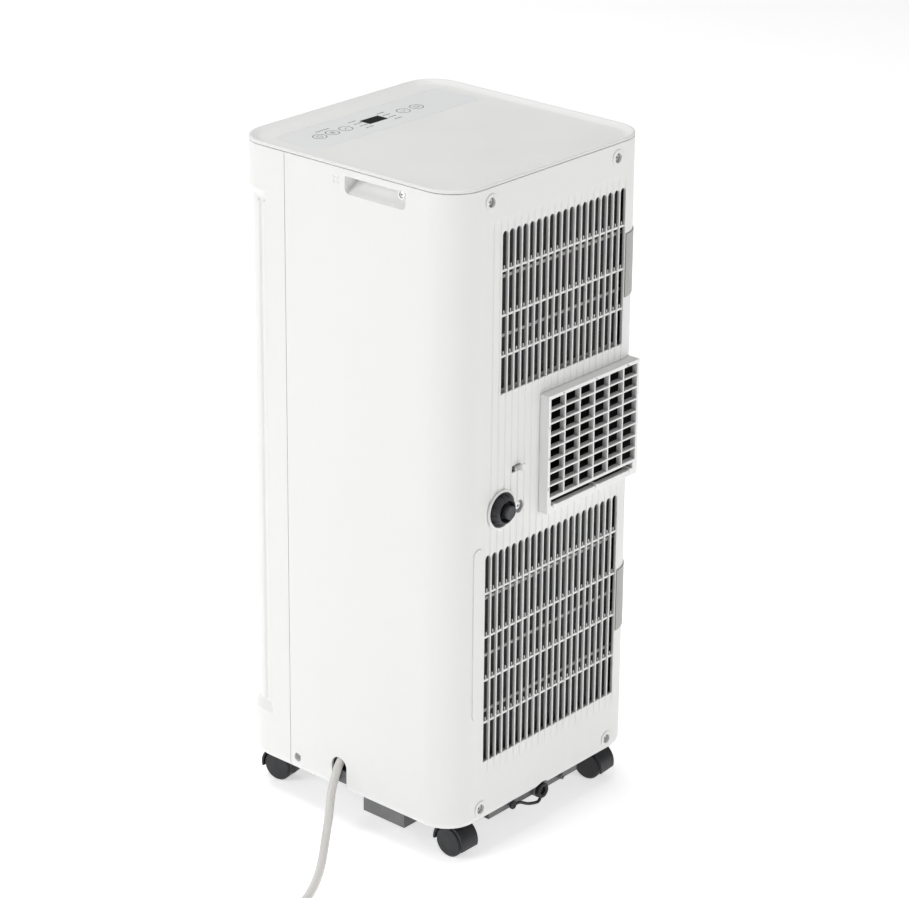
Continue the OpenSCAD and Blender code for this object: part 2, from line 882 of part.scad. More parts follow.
module coil(x, y, z, bends) {
    box([x[0], y[0], z[0]], [x[1], y[1], z[1]]);
    for (s = [0, 1]) {
        box([x[s] - 1, y[0] - 2, z[0]], [x[s] + 1, y[1] + 2, z[1]]);
    }
    step = (z[1] - z[0]) / bends;
    for (j = [0 : bends - 1], s = [0, 1]) {
        translate([x[s], (y[0] + y[1]) / 2, z[0] + (j + 0.5) * step]) {
            rotate([0, 0, s == 0 ? 180 : 0]) rotate([90, 0, 0]) {
                rotate([0, 0, -90]) rotate_extrude(angle = 180) translate([step / 4, 0]) circle(3.5);
            }
        }
    }
}

evap_coil_x = [-100, 100];
evap_coil_y = [90, 116];
evap_coil_z = [492, 656];
cond_coil_z = [104, 334];

module evaporator_coil() {
    color(fin_metal) cab() coil(evap_coil_x, evap_coil_y, evap_coil_z, 7);
}

module condenser_coil() {
    color(fin_metal) cab() coil(evap_coil_x, evap_coil_y, cond_coil_z, 9);
}

module casing(low, high, axis, inlet_r) {
    difference() {
        box(low, high);
        box(low + [2, 2, 2], high - [2, 2, 2]);
        rear_bar(axis, inlet_r, high[1] - 5, high[1] + 1);
    }
}

evap_case = [[-112, -60, 490], [112, 80, 668]];
cond_case = [[-122, 12, 112], [118, 82, 345]];

module evaporator_casing() {
    color(white) cab() difference() {
        casing(evap_case[0], evap_case[1], evap_axis, 56);
        box([-96, evap_case[0][1] - 1, duct_z[0]], [96, evap_case[0][1] + 4, duct_z[1]]);
    }
}

module condenser_casing() {
    color(dark_grey) cab() difference() {
        casing(cond_case[0], cond_case[1], cond_axis, 62);
        box([duct_x[0] + 12, exhaust_y[0] + 8, cond_case[1][2] - 4],
            [duct_x[1] - 12, cond_case[1][1] - 4, cond_case[1][2] + 1]);
        rear_bar(cond_axis, 12, cond_case[0][1] - 1, cond_case[0][1] + 5);
    }
}

// A blower wheel with straight blades between a back plate and a front ring
module blower(axis, y, r, blades) {
    translate([axis[0], y[0], axis[1]]) rotate([-90, 0, 0]) {
        difference() {
            union() {
                cylinder(r = r, h = 2.4);
                cylinder(r = 11, h = 26);
            }
            translate([0, 0, -1]) cylinder(r = shaft_r + fit, h = 40);
        }
        for (i = [0 : blades - 1]) {
            rotate([0, 0, i * 360 / blades]) {
                translate([r - 14, -0.7, 1]) cube([12, 1.4, y[1] - y[0] - 2.5]);
            }
        }
        translate([0, 0, y[1] - y[0] - 3]) difference() {
            cylinder(r = r, h = 3);
            translate([0, 0, -1]) cylinder(r = r - 16, h = 5);
        }
    }
}

evap_wheel_y = [20, 70];
cond_wheel_y = [24, 74];

module evaporator_wheel() {
    color(dark_grey) cab() blower(evap_axis, evap_wheel_y, 70, 28);
}

module condenser_wheel() {
    color(dark_grey) cab() blower(cond_axis, cond_wheel_y, 78, 30);
}

module fan_motor(axis, y, r, reach) {
    rear_bar(axis, r, y[0], y[1]);
    rear_bar(axis, r * 0.6, y[1] - 1, y[1] + 4);
    rear_bar(axis, shaft_r, y[1], reach);
}

module evaporator_motor() {
    color(steel) cab() {
        fan_motor(evap_axis, [-32, 12], 34, 48);
        box([-9, -30, evap_case[0][2] + 2], [9, -26, evap_case[1][2] - 2]);
    }
}

module condenser_motor() {
    color(steel) cab() {
        fan_motor(cond_axis, [-34, 8], 36, 52);
        box([cond_axis[0] - 9, 8, cond_axis[1] - 60],
            [cond_axis[0] + 9, cond_case[0][1] - 0.2, cond_axis[1] + 60]);
    }
}

module partition_tray() {
    color(white) cab() {
        difference() {
            union() {
                translate([0, 0, 477]) linear_extrude(3) {
                    round_plate(body_w - 22, body_d - 16, corner_r - 8);
                }
                box([-104, 84, 477], [108, 124, 489]);
            }
            box([-101.5, 86.5, 479.5], [105.5, 121.5, 500]);
            translate([122, 60, 470]) cylinder(r = 7, h = 15);
            box([-160, 124.5, 470], [160, 160, 500]);
        }
    }
}

// ---------------------------------------------------------------- refrigerant circuit

comp_pos = [70, -66];
foot_at = 53;
comp_r = 48;
acc_pos = [6, -100];

module accumulator() {
    color(black) cab() translate([acc_pos[0], acc_pos[1], 0]) {
        rotate_extrude() {
            polygon([
                [0, 88], [6, 88], [6, 94], [14, 100], [17, 108], [17, 206], [14, 214],
                [6, 220], [6, 228], [0, 228]
            ]);
        }
        box([8, -3, 140], [20, 9, 144]);
    }
}

module compressor() {
    color(black) cab() translate([comp_pos[0], comp_pos[1], 0]) {
        rotate_extrude() {
            polygon([
                [0, 70], [34, 70], [46, 78], [comp_r, 84], [comp_r, 212], [46, 222],
                [38, 232], [24, 238], [0, 240]
            ]);
        }
        for (a = [30, 150, 270]) {
            rotate([0, 0, a]) difference() {
                translate([0, -11, 70]) cube([60, 22, 3]);
                translate([foot_at, 0, 60]) cylinder(r = 5.2, h = 20);
            }
        }
        translate([18, 12, 230]) cylinder(r = 8, h = 22);
    }
    accumulator();
}

module compressor_feet() {
    color(dark_grey) cab() translate([comp_pos[0], comp_pos[1], 0]) {
        for (a = [30, 150, 270]) {
            rotate([0, 0, a]) translate([foot_at, 0, pan_z[1]]) {
                cylinder(r = 8, h = 20);
                cylinder(r = 5, h = 26);
            }
        }
    }
}

// The route with a smooth bend of about this reach at each inner point
function bent(p, reach) = [
    p[0],
    for (i = [1 : len(p) - 2])
        let (a = p[i] + reach * unit(p[i - 1] - p[i]), b = p[i] + reach * unit(p[i + 1] - p[i]))
        for (t = [0 : 0.25 : 1]) (1 - t) * (1 - t) * a + 2 * t * (1 - t) * p[i] + t * t * b,
    p[len(p) - 1]
];

module suction_pipe() {
    color(copper) cab() tube(bent([
        [acc_pos[0], acc_pos[1], 228.2], [acc_pos[0], acc_pos[1], 330], [40, -60, 370], [122, -20, 400],
        [122, 60, 430], [122, 60, 500], [118, 103, 540]
    ], 14), 4.5, [1, -1, 0]);
}

module discharge_pipe() {
    color(copper) cab() tube(bent([
        [comp_pos[0] + 18, comp_pos[1] + 12, 252.2], [comp_pos[0] + 18, comp_pos[1] + 12, 330],
        [126, -20, 366], [128, 60, 366], [126, 106, 340], [119, 103, 300]
    ], 14), 3.5, [1, -1, 0]);
}

module slinger_wheel() {
    color(dark_grey) cab() {
        translate([-60, 100, 76]) rotate([90, 0, 0]) {
            difference() {
                cylinder(r = 22, h = 3);
                translate([0, 0, -1]) cylinder(r = 2.5 + fit, h = 8);
            }
        }
    }
}

module slinger_motor() {
    color(steel) cab() {
        rear_bar([-60, 76], 16, 58, 84);
        rear_bar([-60, 76], 2.5, 84, 99);
        box([-70, 60, 50.2], [-50, 82, 66]);
    }
}

module control_box() {
    color(fin_metal) cab() {
        difference() {
            box([-124, -122, 100], [-50, -50, 300]);
            box([-122, -120, 102], [-52, -53, 298]);
            x_bar(-86, 120, 7, -55, -45);
        }
        box([-124, -49.8, 98], [-50, -48.4, 302]);
    }
}

// ---------------------------------------------------------------- cold air outlet

module outlet_duct() {
    x_in = outlet_w / 2 - 0.4;
    color(dark_grey) cab() {
        difference() {
            box([-x_in - duct_wall, -133.5, duct_z[0] - duct_wall],
                [x_in + duct_wall, evap_case[0][1] - gap, duct_z[1] + duct_wall]);
            box([-x_in, -134, duct_z[0]], [x_in, evap_case[0][1] + 1, duct_z[1]]);
            for (i = [0 : vane_count - 1]) {
                translate([(i - (vane_count - 1) / 2) * vane_pitch, vane_y, duct_z[0] - 5]) {
                    cylinder(r = vane_pin_r + fit, h = 80);
                }
            }
        }
        both_sides() difference() {
            box([flap_w / 2 + 0.5, -138, duct_z[0] + 0.6], [x_in + 0.1, -130, 576]);
            x_bar(flap_axis[0], flap_axis[1], flap_pin_r + fit, flap_w / 2, x_in + 1);
        }
    }
}

module louver_flap() {
    half = flap_w / 2;
    color(white) cab() {
        difference() {
            union() {
                box([-half, -137.6, 567.6], [half, -135.2, 628.4]);
                x_bar(flap_axis[0], flap_axis[1], 3.4, -half, half);
                x_bar(-137.4, 627.6, 1.2, -half, half);
            }
            box([-half - 1, -142, 628.4], [half + 1, -130, 632]);
        }
        x_bar(flap_axis[0], flap_axis[1], flap_pin_r, -half - 3.4, half + 3.4);
        for (x = [-half + 20, half - 24]) {
            box([x, -135.4, 572], [x + 4, -131.5, 610]);
        }
    }
}

module louver_motor() {
    color(steel) cab() {
        x_bar(-116, 590, 12, -outlet_w / 2 - 18, -outlet_w / 2 - 2.2);
        box([-outlet_w / 2 - 8, -119, 570], [-outlet_w / 2 - 2.2, -113, 610]);
    }
}

module vane(i) {
    x = (i - (vane_count + 1) / 2) * vane_pitch;
    color(white) cab() translate([x, vane_y, 0]) {
        box([-0.9, -13, vane_z[0]], [0.9, 13, vane_z[1]]);
        translate([0, 0, vane_z[0] - 4.6]) cylinder(r = vane_pin_r, h = vane_z[1] - vane_z[0] + 8.8);
        translate([0, 0, vane_z[0]]) cylinder(r = 2.4, h = vane_z[1] - vane_z[0]);
        translate([0, crank, link_z[0] + 0.2]) cylinder(r = crank_r, h = vane_z[0] - link_z[0] + 2);
    }
}

module vane_link() {
    y = vane_y + crank - 0.5;
    color(black) cab() difference() {
        box([-76, y - 4.5, link_z[0]], [76, y + 4.5, link_z[1]]);
        for (i = [1 : vane_count]) {
            translate([(i - (vane_count + 1) / 2) * vane_pitch, y, link_z[0] - 1]) {
                translate([-1.6, -1.4, 0]) cube([3.2, 2.8, 5]);
                for (s = [-1, 1]) {
                    translate([0, s * 1.4, 0]) cylinder(r = 1.6, h = 5);
                }
            }
        }
    }
}

// ---------------------------------------------------------------- castors

// Swivel positions and the way each castor's wheels point at rest
castor_x = [1, 1, -1, -1];
castor_y = [1, -1, 1, -1];
castor_turn = [0, 188, 5, 195];
wheel_gap = 2.4;
wheel_w = 9.4;
axle_r = 2.5;
hood_r = wheel_r + 1.3;
neck_z = wheel_r + 10;
plate_z = pan_z[0] - castor_drop;

module at_castor(i) {
    on_floor() translate([castor_x[i - 1] * castor_pos, castor_y[i - 1] * castor_pos, 0]) {
        rotate([0, 0, castor_turn[i - 1]]) children();
    }
}

module castor_fork(i) {
    color(dark_grey) at_castor(i) {
        difference() {
            union() {
                intersection() {
                    x_bar(trail, wheel_r, hood_r + 2.2, -11.6, 11.6);
                    for (lean = [-15, 6]) {
                        translate([0, trail, wheel_r]) rotate([lean, 0, 0]) {
                            box([-20, -40, 0], [20, 40, 40]);
                        }
                    }
                }
                x_bar(trail, wheel_r, 12, -wheel_gap + 0.3, wheel_gap - 0.3);
                translate([0, 0, neck_z]) cylinder(r = 8, h = plate_z - gap - neck_z);
            }
            for (s = [-1, 1]) {
                x_low = s < 0 ? -14 : wheel_gap - 0.3;
                x_bar(trail, wheel_r, hood_r, x_low, x_low + 14 - wheel_gap + 0.3);
            }
            x_bar(trail, wheel_r, axle_r + fit, -10, 10);
        }
        translate([0, 0, plate_z - 8]) cylinder(r = stem_r, h = 24);
    }
}

module castor_wheels(i) {
    color(black) at_castor(i) {
        for (s = [0, 180]) {
            translate([0, trail, wheel_r]) rotate([0, 90, s]) translate([0, 0, wheel_gap]) {
                rotate_extrude() {
                    polygon([
                        [0, 0], [wheel_r - 1, 0], [wheel_r, 1], [wheel_r, wheel_w - 1.6],
                        [wheel_r - 1.6, wheel_w], [wheel_r - 2.2, wheel_w + 0.2], [0, wheel_w + 0.5]
                    ]);
                }
            }
        }
        x_bar(trail, wheel_r, axle_r, -wheel_gap - 1, wheel_gap + 1);
    }
}

// ---------------------------------------------------------------- power cord

module cord_gland() {
    color(dark_grey) at_gland() {
        rotate_extrude() {
            polygon([
                [0, -gland_len], [9, -gland_len], [9, -gland_len + 6], [7.4, -gland_len + 6],
                [5.6, 0], [0, 0]
            ]);
        }
    }
}

module at_gland() {
    on_floor() translate(gland_tip) rotate([0, 135, 0]) children();
}

// Rings of the tube: each ring is square to the route, and side is a direction that no
// stretch of the route runs along
function route_dir(p, i) =
    i == 0 ? p[1] - p[0] : i == len(p) - 1 ? p[i] - p[i - 1] : p[i + 1] - p[i - 1];
function unit(v) = v / norm(v);
function ring(p, i, r, side) =
    let (t = unit(route_dir(p, i)), n = unit(cross(side, t)), b = cross(t, n))
    [for (k = [0 : cord_sides - 1])
        p[i] + r * (cos(k * 360 / cord_sides) * n + sin(k * 360 / cord_sides) * b)];

module tube(points, r, side = [0, 0, 1]) {
    rings = [for (i = [0 : len(points) - 1]) each ring(points, i, r, side)];
    last = (len(points) - 1) * cord_sides;
    sides = [
        for (i = [0 : len(points) - 2], k = [0 : cord_sides - 1])
            let (a = i * cord_sides + k, b = i * cord_sides + (k + 1) % cord_sides)
            [a, a + cord_sides, b + cord_sides, b]
    ];
    caps = [[for (k = [0 : cord_sides - 1]) k], [for (k = [0 : cord_sides - 1]) last + cord_sides - 1 - k]];
    polyhedron(points = rings, faces = concat(sides, caps));
}

module power_cord() {
    color(light_grey) on_floor() tube(cord_points, cord_r);
}

module cord_coil() {
    color(light_grey) on_floor() translate([coil_c[0], coil_c[1], 0]) {
        rotate_extrude() {
            translate([coil_r_in - cord_r, 0.1]) square([coil_r_out - coil_r_in + cord_d, coil_h]);
        }
    }
}

module cord_tail() {
    color(light_grey) on_floor() tube(tail_points, cord_r);
}

// The plug's body, blades and earth pin, along +Y before it is turned
module power_plug() {
    color(light_grey) on_floor() translate([plug_c[0], plug_c[1], 0]) rotate([0, 0, plug_turn]) {
        box([-12, 0, 1], [12, 30, 20]);
        translate([0, 0, 10.5]) rotate([90, 0, 0]) cylinder(r1 = 8, r2 = 4.6, h = 26);
        for (x = [-6.35, 6.35]) {
            box([x - 0.75, 29, 7.4], [x + 0.75, 47, 13.7]);
        }
        translate([0, 29, 4.6]) rotate([-90, 0, 0]) cylinder(r = 2.4, h = 21);
    }
}

rear_shell();
front_panel();
top_cover();
control_film();
display_window();
base_pan();
exhaust_collar();
exhaust_duct();
mid_drain_spout();
mid_drain_cap();
lower_drain_plug();
drain_strap();
rear_screws();
side_screws();
wall_hook();
upper_filter_frame();
upper_filter_mesh();
lower_filter_frame();
lower_filter_mesh();
evaporator_coil();
condenser_coil();
evaporator_casing();
evaporator_wheel();
evaporator_motor();
condenser_casing();
condenser_wheel();
condenser_motor();
compressor();
drain_sump();
compressor_feet();
partition_tray();
suction_pipe();
discharge_pipe();
control_box();
control_board();
outlet_duct();
louver_flap();
louver_motor();
vane(1);  // vane_1
vane(2);  // vane_2
vane(3);  // vane_3
vane(4);  // vane_4
vane(5);  // vane_5
vane(6);  // vane_6
vane_link();
slinger_wheel();
slinger_motor();
castor_fork(1);  // castor_1_fork
castor_fork(2);  // castor_2_fork
castor_fork(3);  // castor_3_fork
castor_fork(4);  // castor_4_fork
castor_wheels(1);  // castor_1_wheels
castor_wheels(2);  // castor_2_wheels
castor_wheels(3);  // castor_3_wheels
castor_wheels(4);  // castor_4_wheels
cord_gland();
power_cord();
cord_coil();
cord_tail();
power_plug();
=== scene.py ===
import json
import math

import bmesh
import bpy
from mathutils import Matrix, Vector


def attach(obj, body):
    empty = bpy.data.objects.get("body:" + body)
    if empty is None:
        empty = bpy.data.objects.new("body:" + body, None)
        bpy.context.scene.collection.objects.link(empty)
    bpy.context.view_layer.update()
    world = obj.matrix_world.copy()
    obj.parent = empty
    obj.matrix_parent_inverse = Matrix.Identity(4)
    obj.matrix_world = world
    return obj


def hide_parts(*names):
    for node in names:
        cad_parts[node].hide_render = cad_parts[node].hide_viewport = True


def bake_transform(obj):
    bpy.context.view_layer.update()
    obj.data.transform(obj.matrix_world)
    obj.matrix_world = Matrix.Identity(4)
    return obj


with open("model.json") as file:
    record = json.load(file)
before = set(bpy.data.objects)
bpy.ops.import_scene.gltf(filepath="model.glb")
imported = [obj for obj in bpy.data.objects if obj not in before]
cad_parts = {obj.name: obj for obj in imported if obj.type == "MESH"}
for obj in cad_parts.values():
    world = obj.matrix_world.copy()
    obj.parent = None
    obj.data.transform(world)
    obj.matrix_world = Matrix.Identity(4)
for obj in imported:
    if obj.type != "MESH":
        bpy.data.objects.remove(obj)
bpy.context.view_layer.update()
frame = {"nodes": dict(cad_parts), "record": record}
SHIFT = -6.75  # mm, where the cabinet's middle lies along the frame's Y
DATUM = -5.5  # mm, the height in the frame that the cabinet's own heights count from
HALF = 142.5  # mm, half the cabinet's width and depth
TO_METRES = Matrix.Scale(0.001, 4)


def cab(x, y, z):
    """A point in the cabinet's own millimetres, in the frame in metres."""
    return Vector((x / 1000, (y + SHIFT) / 1000, (z + DATUM) / 1000))


def on_floor(x, y, z):
    """A point in millimetres from under the cabinet's middle, in the frame in metres."""
    return Vector((x / 1000, (y + SHIFT) / 1000, z / 1000))


def turned(degrees, axis):
    return Matrix.Rotation(math.radians(degrees), 4, axis)


# Millimetres in the cabinet's own coordinates to the frame's metres
IN_CAB = Matrix.Translation(cab(0, 0, 0)) @ TO_METRES
ALONG_Y = turned(-90, "X")  # lays a shape drawn along Z to point along Y


# ------------------------------------------------------------------ camera

AZIMUTH, ELEVATION, ROLL = 131.18, 19.98, 0.48  # degrees
EYE = (2153.6, 1901.2, 1574.9)  # mm, in the cabinet's own coordinates
SENSOR, LENS = 36, 123.275246  # mm
VIEW_SHIFT = -0.1639164  # how far up the view is shifted, as a share of the picture's width


def make_camera():
    a, e, r = (math.radians(v) for v in (AZIMUTH, ELEVATION, ROLL))
    back = Vector((math.sin(a) * math.cos(e), -math.cos(a) * math.cos(e), math.sin(e)))
    right = Vector((math.cos(a), math.sin(a), 0))
    up = back.cross(right)
    right, up = (
        math.cos(r) * right + math.sin(r) * up,
        math.cos(r) * up - math.sin(r) * right,
    )
    data = bpy.data.cameras.new("camera")
    data.sensor_width = SENSOR
    data.lens = LENS
    data.shift_y = VIEW_SHIFT
    data.clip_start, data.clip_end = 0.05, 60
    o = bpy.data.objects.new("camera", data)
    bpy.context.scene.collection.objects.link(o)
    facing = Matrix((right, up, back)).transposed().to_4x4()
    o.matrix_world = Matrix.Translation(cab(*EYE)) @ facing
    bpy.context.scene.camera = o


make_camera()

# ------------------------------------------------------------------ materials


def tree(name):
    m = bpy.data.materials.new(name)
    m.use_nodes = True
    t = m.node_tree
    t.nodes.clear()
    shader = t.nodes.new("ShaderNodeBsdfPrincipled")
    t.links.new(shader.outputs[0], t.nodes.new("ShaderNodeOutputMaterial").inputs[0])
    return m, t, shader


def put(t, socket, value):
    """Links value to socket if it is a socket, and sets it otherwise."""
    if isinstance(value, bpy.types.NodeSocket):
        t.links.new(value, socket)
    elif socket.type == "RGBA" and len(value) == 3:
        socket.default_value = (*value, 1)
    else:
        socket.default_value = value


def where(t, stretch=(1, 1, 1)):
    """The place on the piece, in metres, stretched along its axes."""
    place = t.nodes.new("ShaderNodeTexCoord").outputs["Object"]
    if stretch == (1, 1, 1):
        return place
    n = t.nodes.new("ShaderNodeMapping")
    t.links.new(place, n.inputs["Vector"])
    n.inputs["Scale"].default_value = stretch
    return n.outputs[0]


def noise(t, scale, detail=2.0, stretch=(1, 1, 1), rough=0.5):
    n = t.nodes.new("ShaderNodeTexNoise")
    t.links.new(where(t, stretch), n.inputs["Vector"])
    n.inputs["Scale"].default_value = scale
    n.inputs["Detail"].default_value = detail
    n.inputs["Roughness"].default_value = rough
    return n.outputs[0]


def spread(t, value, low, high, to_low=0.0, to_high=1.0):
    """value from low..high moved to to_low..to_high, clamped."""
    n = t.nodes.new("ShaderNodeMapRange")
    put(t, n.inputs["Value"], value)
    for name, v in (("From Min", low), ("From Max", high), ("To Min", to_low), ("To Max", to_high)):
        put(t, n.inputs[name], v)
    return n.outputs[0]


def maths(t, kind, *values):
    n = t.nodes.new("ShaderNodeMath")
    n.operation = kind
    for socket, v in zip(n.inputs, values):
        put(t, socket, v)
    return n.outputs[0]


def blend_colour(t, share, a, b):
    n = t.nodes.new("ShaderNodeMix")
    n.data_type = "RGBA"
    put(t, n.inputs[0], share)
    put(t, n.inputs[6], a)
    put(t, n.inputs[7], b)
    return n.outputs[2]


def shade(colour, by):
    return tuple(max(0.0, min(1.0, c * by)) for c in colour)


def rounded(t, radius):
    """The surface's direction, with its edges rounded off by radius."""
    n = t.nodes.new("ShaderNodeBevel")
    n.samples = 4
    n.inputs["Radius"].default_value = radius
    return n.outputs[0]


def bump(t, height, distance, normal=None, strength=1.0):
    n = t.nodes.new("ShaderNodeBump")
    put(t, n.inputs["Height"], height)
    n.inputs["Distance"].default_value = distance
    n.inputs["Strength"].default_value = strength
    if normal is not None:
        t.links.new(normal, n.inputs["Normal"])
    return n.outputs[0]


def edges(t, soft):
    """1 along edges and 0 on flat faces, from how far the rounded direction leans."""
    dot = t.nodes.new("ShaderNodeVectorMath")
    dot.operation = "DOT_PRODUCT"
    t.links.new(soft, dot.inputs[0])
    t.links.new(t.nodes.new("ShaderNodeNewGeometry").outputs["True Normal"], dot.inputs[1])
    return spread(t, dot.outputs["Value"], 0.995, 0.8)


def place_parts(t):
    """The place on the piece, in metres, as separate X, Y and Z."""
    n = t.nodes.new("ShaderNodeSeparateXYZ")
    t.links.new(where(t), n.inputs[0])
    return n.outputs


SLOTS_END = 0.107  # metres from the middle, a little past the outermost slots
COLLAR_X, COLLAR_Z = (-122.5, 17.5), (352, 474)  # mm, the exhaust collar's sides and its foot and top
COLLAR_FRONT = 153.5  # mm, the collar's outer edge along Y
GRIP_Y, GRIP_Z = (0, 80), (672, 693)  # mm, a box round each grip's recess


def slot_painted_shade(t):
    """1 down inside the grille slots, where shade is painted into the colour, and 0 on the outside."""
    at = place_parts(t)
    rear = (HALF + SHIFT) / 1000
    deep = spread(t, at["Y"], rear - 0.0012, rear - 0.0028)
    inside = spread(t, maths(t, "ABSOLUTE", at["X"]), SLOTS_END + 0.0005, SLOTS_END - 0.0005)
    not_far = spread(t, at["Y"], rear - 0.012, rear - 0.010)
    return maths(t, "MULTIPLY", maths(t, "MULTIPLY", deep, inside), not_far)


def collar_painted_shade(t):
    """1 on the collar's inner walls behind its front edge, where shade is painted into the colour."""
    at = place_parts(t)
    front = (COLLAR_FRONT + SHIFT) / 1000
    inner = spread(t, at["Y"], front - 0.0008, front - 0.0035)
    sides = [x / 1000 for x in COLLAR_X]
    ends = [(z + DATUM) / 1000 for z in COLLAR_Z]
    for name, (low, high) in (("X", sides), ("Z", ends)):
        inner = maths(t, "MULTIPLY", inner, spread(t, at[name], low + 0.0015, low + 0.0025))
        inner = maths(t, "MULTIPLY", inner, spread(t, at[name], high - 0.0015, high - 0.0025))
    return inner


def grip_painted_light(t):
    """1 inside the grips' recesses, where light is painted into the colour to make them lighter than the wall
    round them.
    """
    at = place_parts(t)
    fade, wall = 0.001, HALF / 1000
    low, high = ((z + DATUM) / 1000 for z in GRIP_Z)
    start, end = ((y + SHIFT) / 1000 for y in GRIP_Y)
    tall = maths(t, "MULTIPLY", spread(t, at["Z"], low, low + fade), spread(t, at["Z"], high, high - fade))
    along = maths(t, "MULTIPLY", spread(t, at["Y"], start, start + fade), spread(t, at["Y"], end, end - fade))
    sunk = spread(t, maths(t, "ABSOLUTE", at["X"]), wall - 0.0004, wall - 0.001)
    return maths(t, "MULTIPLY", maths(t, "MULTIPLY", tall, along), sunk)


DUST = (0.50, 0.47, 0.42)


def moulded(
    name, colour, rough, grain=1500, depth=0.00003, edge=0.0005, cloud=0.012, edge_wear_and_highlight=1.08,
    specular=0.5, low_dust=0.0, slots=False, collar=False,
):
    """Injection-moulded plastic: a fine spark-eroded grain, faint flow clouding, edges lightened in colour
    for wear and as a painted highlight, and handling marks in its gloss."""
    m, t, s = tree(name)
    soft = rounded(t, edge)
    flow = spread(t, noise(t, 6, 3, (1, 1, 0.35)), 0.3, 0.7)
    base = blend_colour(t, flow, shade(colour, 1 - cloud), shade(colour, 1 + cloud))
    specks = spread(t, noise(t, 900, 1), 0.70, 0.78)
    base = blend_colour(t, maths(t, "MULTIPLY", specks, 0.35), base, shade(colour, 0.9))
    # edges lightened in colour: partly wear, partly a painted highlight
    base = blend_colour(t, maths(t, "MULTIPLY", edges(t, soft), 0.6), base, shade(colour, edge_wear_and_highlight))
    if low_dust:
        near_floor = spread(t, place_parts(t)["Z"], 0.14, 0.03)
        patchy = spread(t, noise(t, 60, 5, rough=0.65), 0.42, 0.72)
        dusty = maths(t, "MULTIPLY", maths(t, "MULTIPLY", near_floor, patchy), low_dust)
        base = blend_colour(t, dusty, base, DUST)
    if collar:
        # painted shade: the colour is darkened on the collar's inner walls
        base = blend_colour(t, maths(t, "MULTIPLY", collar_painted_shade(t), 0.42), base, shade(colour, 0.25))
    if slots:
        # painted shade: the colour is darkened down inside the grille slots
        base = blend_colour(t, maths(t, "MULTIPLY", slot_painted_shade(t), 0.6), base, shade(colour, 0.2))
        # painted light: the colour is lightened inside the grips' recesses
        base = blend_colour(t, grip_painted_light(t), base, shade(colour, 1.16))
    put(t, s.inputs["Base Color"], base)
    rubs = spread(t, noise(t, 24, 6, rough=0.6), 0.35, 0.75, rough - 0.05, rough + 0.09)
    fine = noise(t, grain * 0.4, 2)
    put(t, s.inputs["Roughness"], maths(t, "ADD", rubs, spread(t, fine, 0.3, 0.7, -0.03, 0.03)))
    s.inputs["Specular IOR Level"].default_value = specular
    put(t, s.inputs["Normal"], bump(t, noise(t, grain, 2), depth, soft, 0.7))
    return m


def metal(name, colour, rough, stretch=(1, 1, 1), scale=400, edge=0.0002, depth=0.00001, tarnish=0.85):
    """Metal with drawn or turned marks, patchy tarnish and rounded edges."""
    m, t, s = tree(name)
    soft = rounded(t, edge)
    lines = noise(t, scale, 4, stretch, 0.6)
    patches = spread(t, noise(t, 30, 4), 0.4, 0.7)
    base = blend_colour(t, patches, colour, shade(colour, tarnish))
    put(t, s.inputs["Base Color"], blend_colour(t, spread(t, lines, 0.35, 0.65), base, shade(colour, 1.05)))
    s.inputs["Metallic"].default_value = 1.0
    uneven = maths(t, "ADD", lines, patches)
    put(t, s.inputs["Roughness"], spread(t, uneven, 0.4, 1.6, rough - 0.06, rough + 0.14))
    put(t, s.inputs["Normal"], bump(t, lines, depth, soft, 0.5))
    return m


def rubber(name, colour, rough=0.62):
    m, t, s = tree(name)
    soft = rounded(t, 0.0004)
    bloom = spread(t, noise(t, 45, 5, rough=0.6), 0.45, 0.75)
    put(t, s.inputs["Base Color"], blend_colour(t, bloom, colour, tuple(c * 0.9 + 0.02 for c in colour)))
    put(t, s.inputs["Roughness"], spread(t, bloom, 0, 1, rough - 0.08, rough + 0.12))
    s.inputs["Specular IOR Level"].default_value = 0.4
    put(t, s.inputs["Normal"], bump(t, noise(t, 1800, 2), 0.00004, soft, 0.6))
    return m


def printed_board(name):
    m, t, s = tree(name)
    tracks = t.nodes.new("ShaderNodeTexVoronoi")
    tracks.feature = "DISTANCE_TO_EDGE"
    t.links.new(where(t), tracks.inputs["Vector"])
    tracks.inputs["Scale"].default_value = 160
    line = spread(t, tracks.outputs["Distance"], 0.05, 0.09)
    put(t, s.inputs["Base Color"], blend_colour(t, line, (0.06, 0.26, 0.12), (0.02, 0.12, 0.05)))
    put(t, s.inputs["Roughness"], spread(t, line, 0, 1, 0.3, 0.42))
    put(t, s.inputs["Normal"], bump(t, line, 0.00004))
    return m


def film(name):
    """The clear-coated control film: an even tint under a satin coat."""
    m, t, s = tree(name)
    tint = spread(t, noise(t, 9, 2), 0.35, 0.65)
    put(t, s.inputs["Base Color"], blend_colour(t, tint, (0.768, 0.775, 0.778), (0.780, 0.786, 0.789)))
    put(t, s.inputs["Roughness"], spread(t, noise(t, 700, 3), 0.3, 0.7, 0.30, 0.40))
    s.inputs["Specular IOR Level"].default_value = 0.4
    put(t, s.inputs["Normal"], bump(t, noise(t, 1100, 1), 0.00001, rounded(t, 0.0002), 0.5))
    return m


def glass_black(name):
    m, t, s = tree(name)
    smear = spread(t, noise(t, 90, 5, (1, 2.5, 1), 0.6), 0.4, 0.75)
    put(t, s.inputs["Base Color"], blend_colour(t, smear, (0.012, 0.012, 0.013), (0.018, 0.018, 0.020)))
    put(t, s.inputs["Roughness"], spread(t, smear, 0, 1, 0.42, 0.55))
    s.inputs["Specular IOR Level"].default_value = 0.05
    put(t, s.inputs["Normal"], bump(t, noise(t, 250, 2), 0.00001, rounded(t, 0.0003), 0.4))
    return m


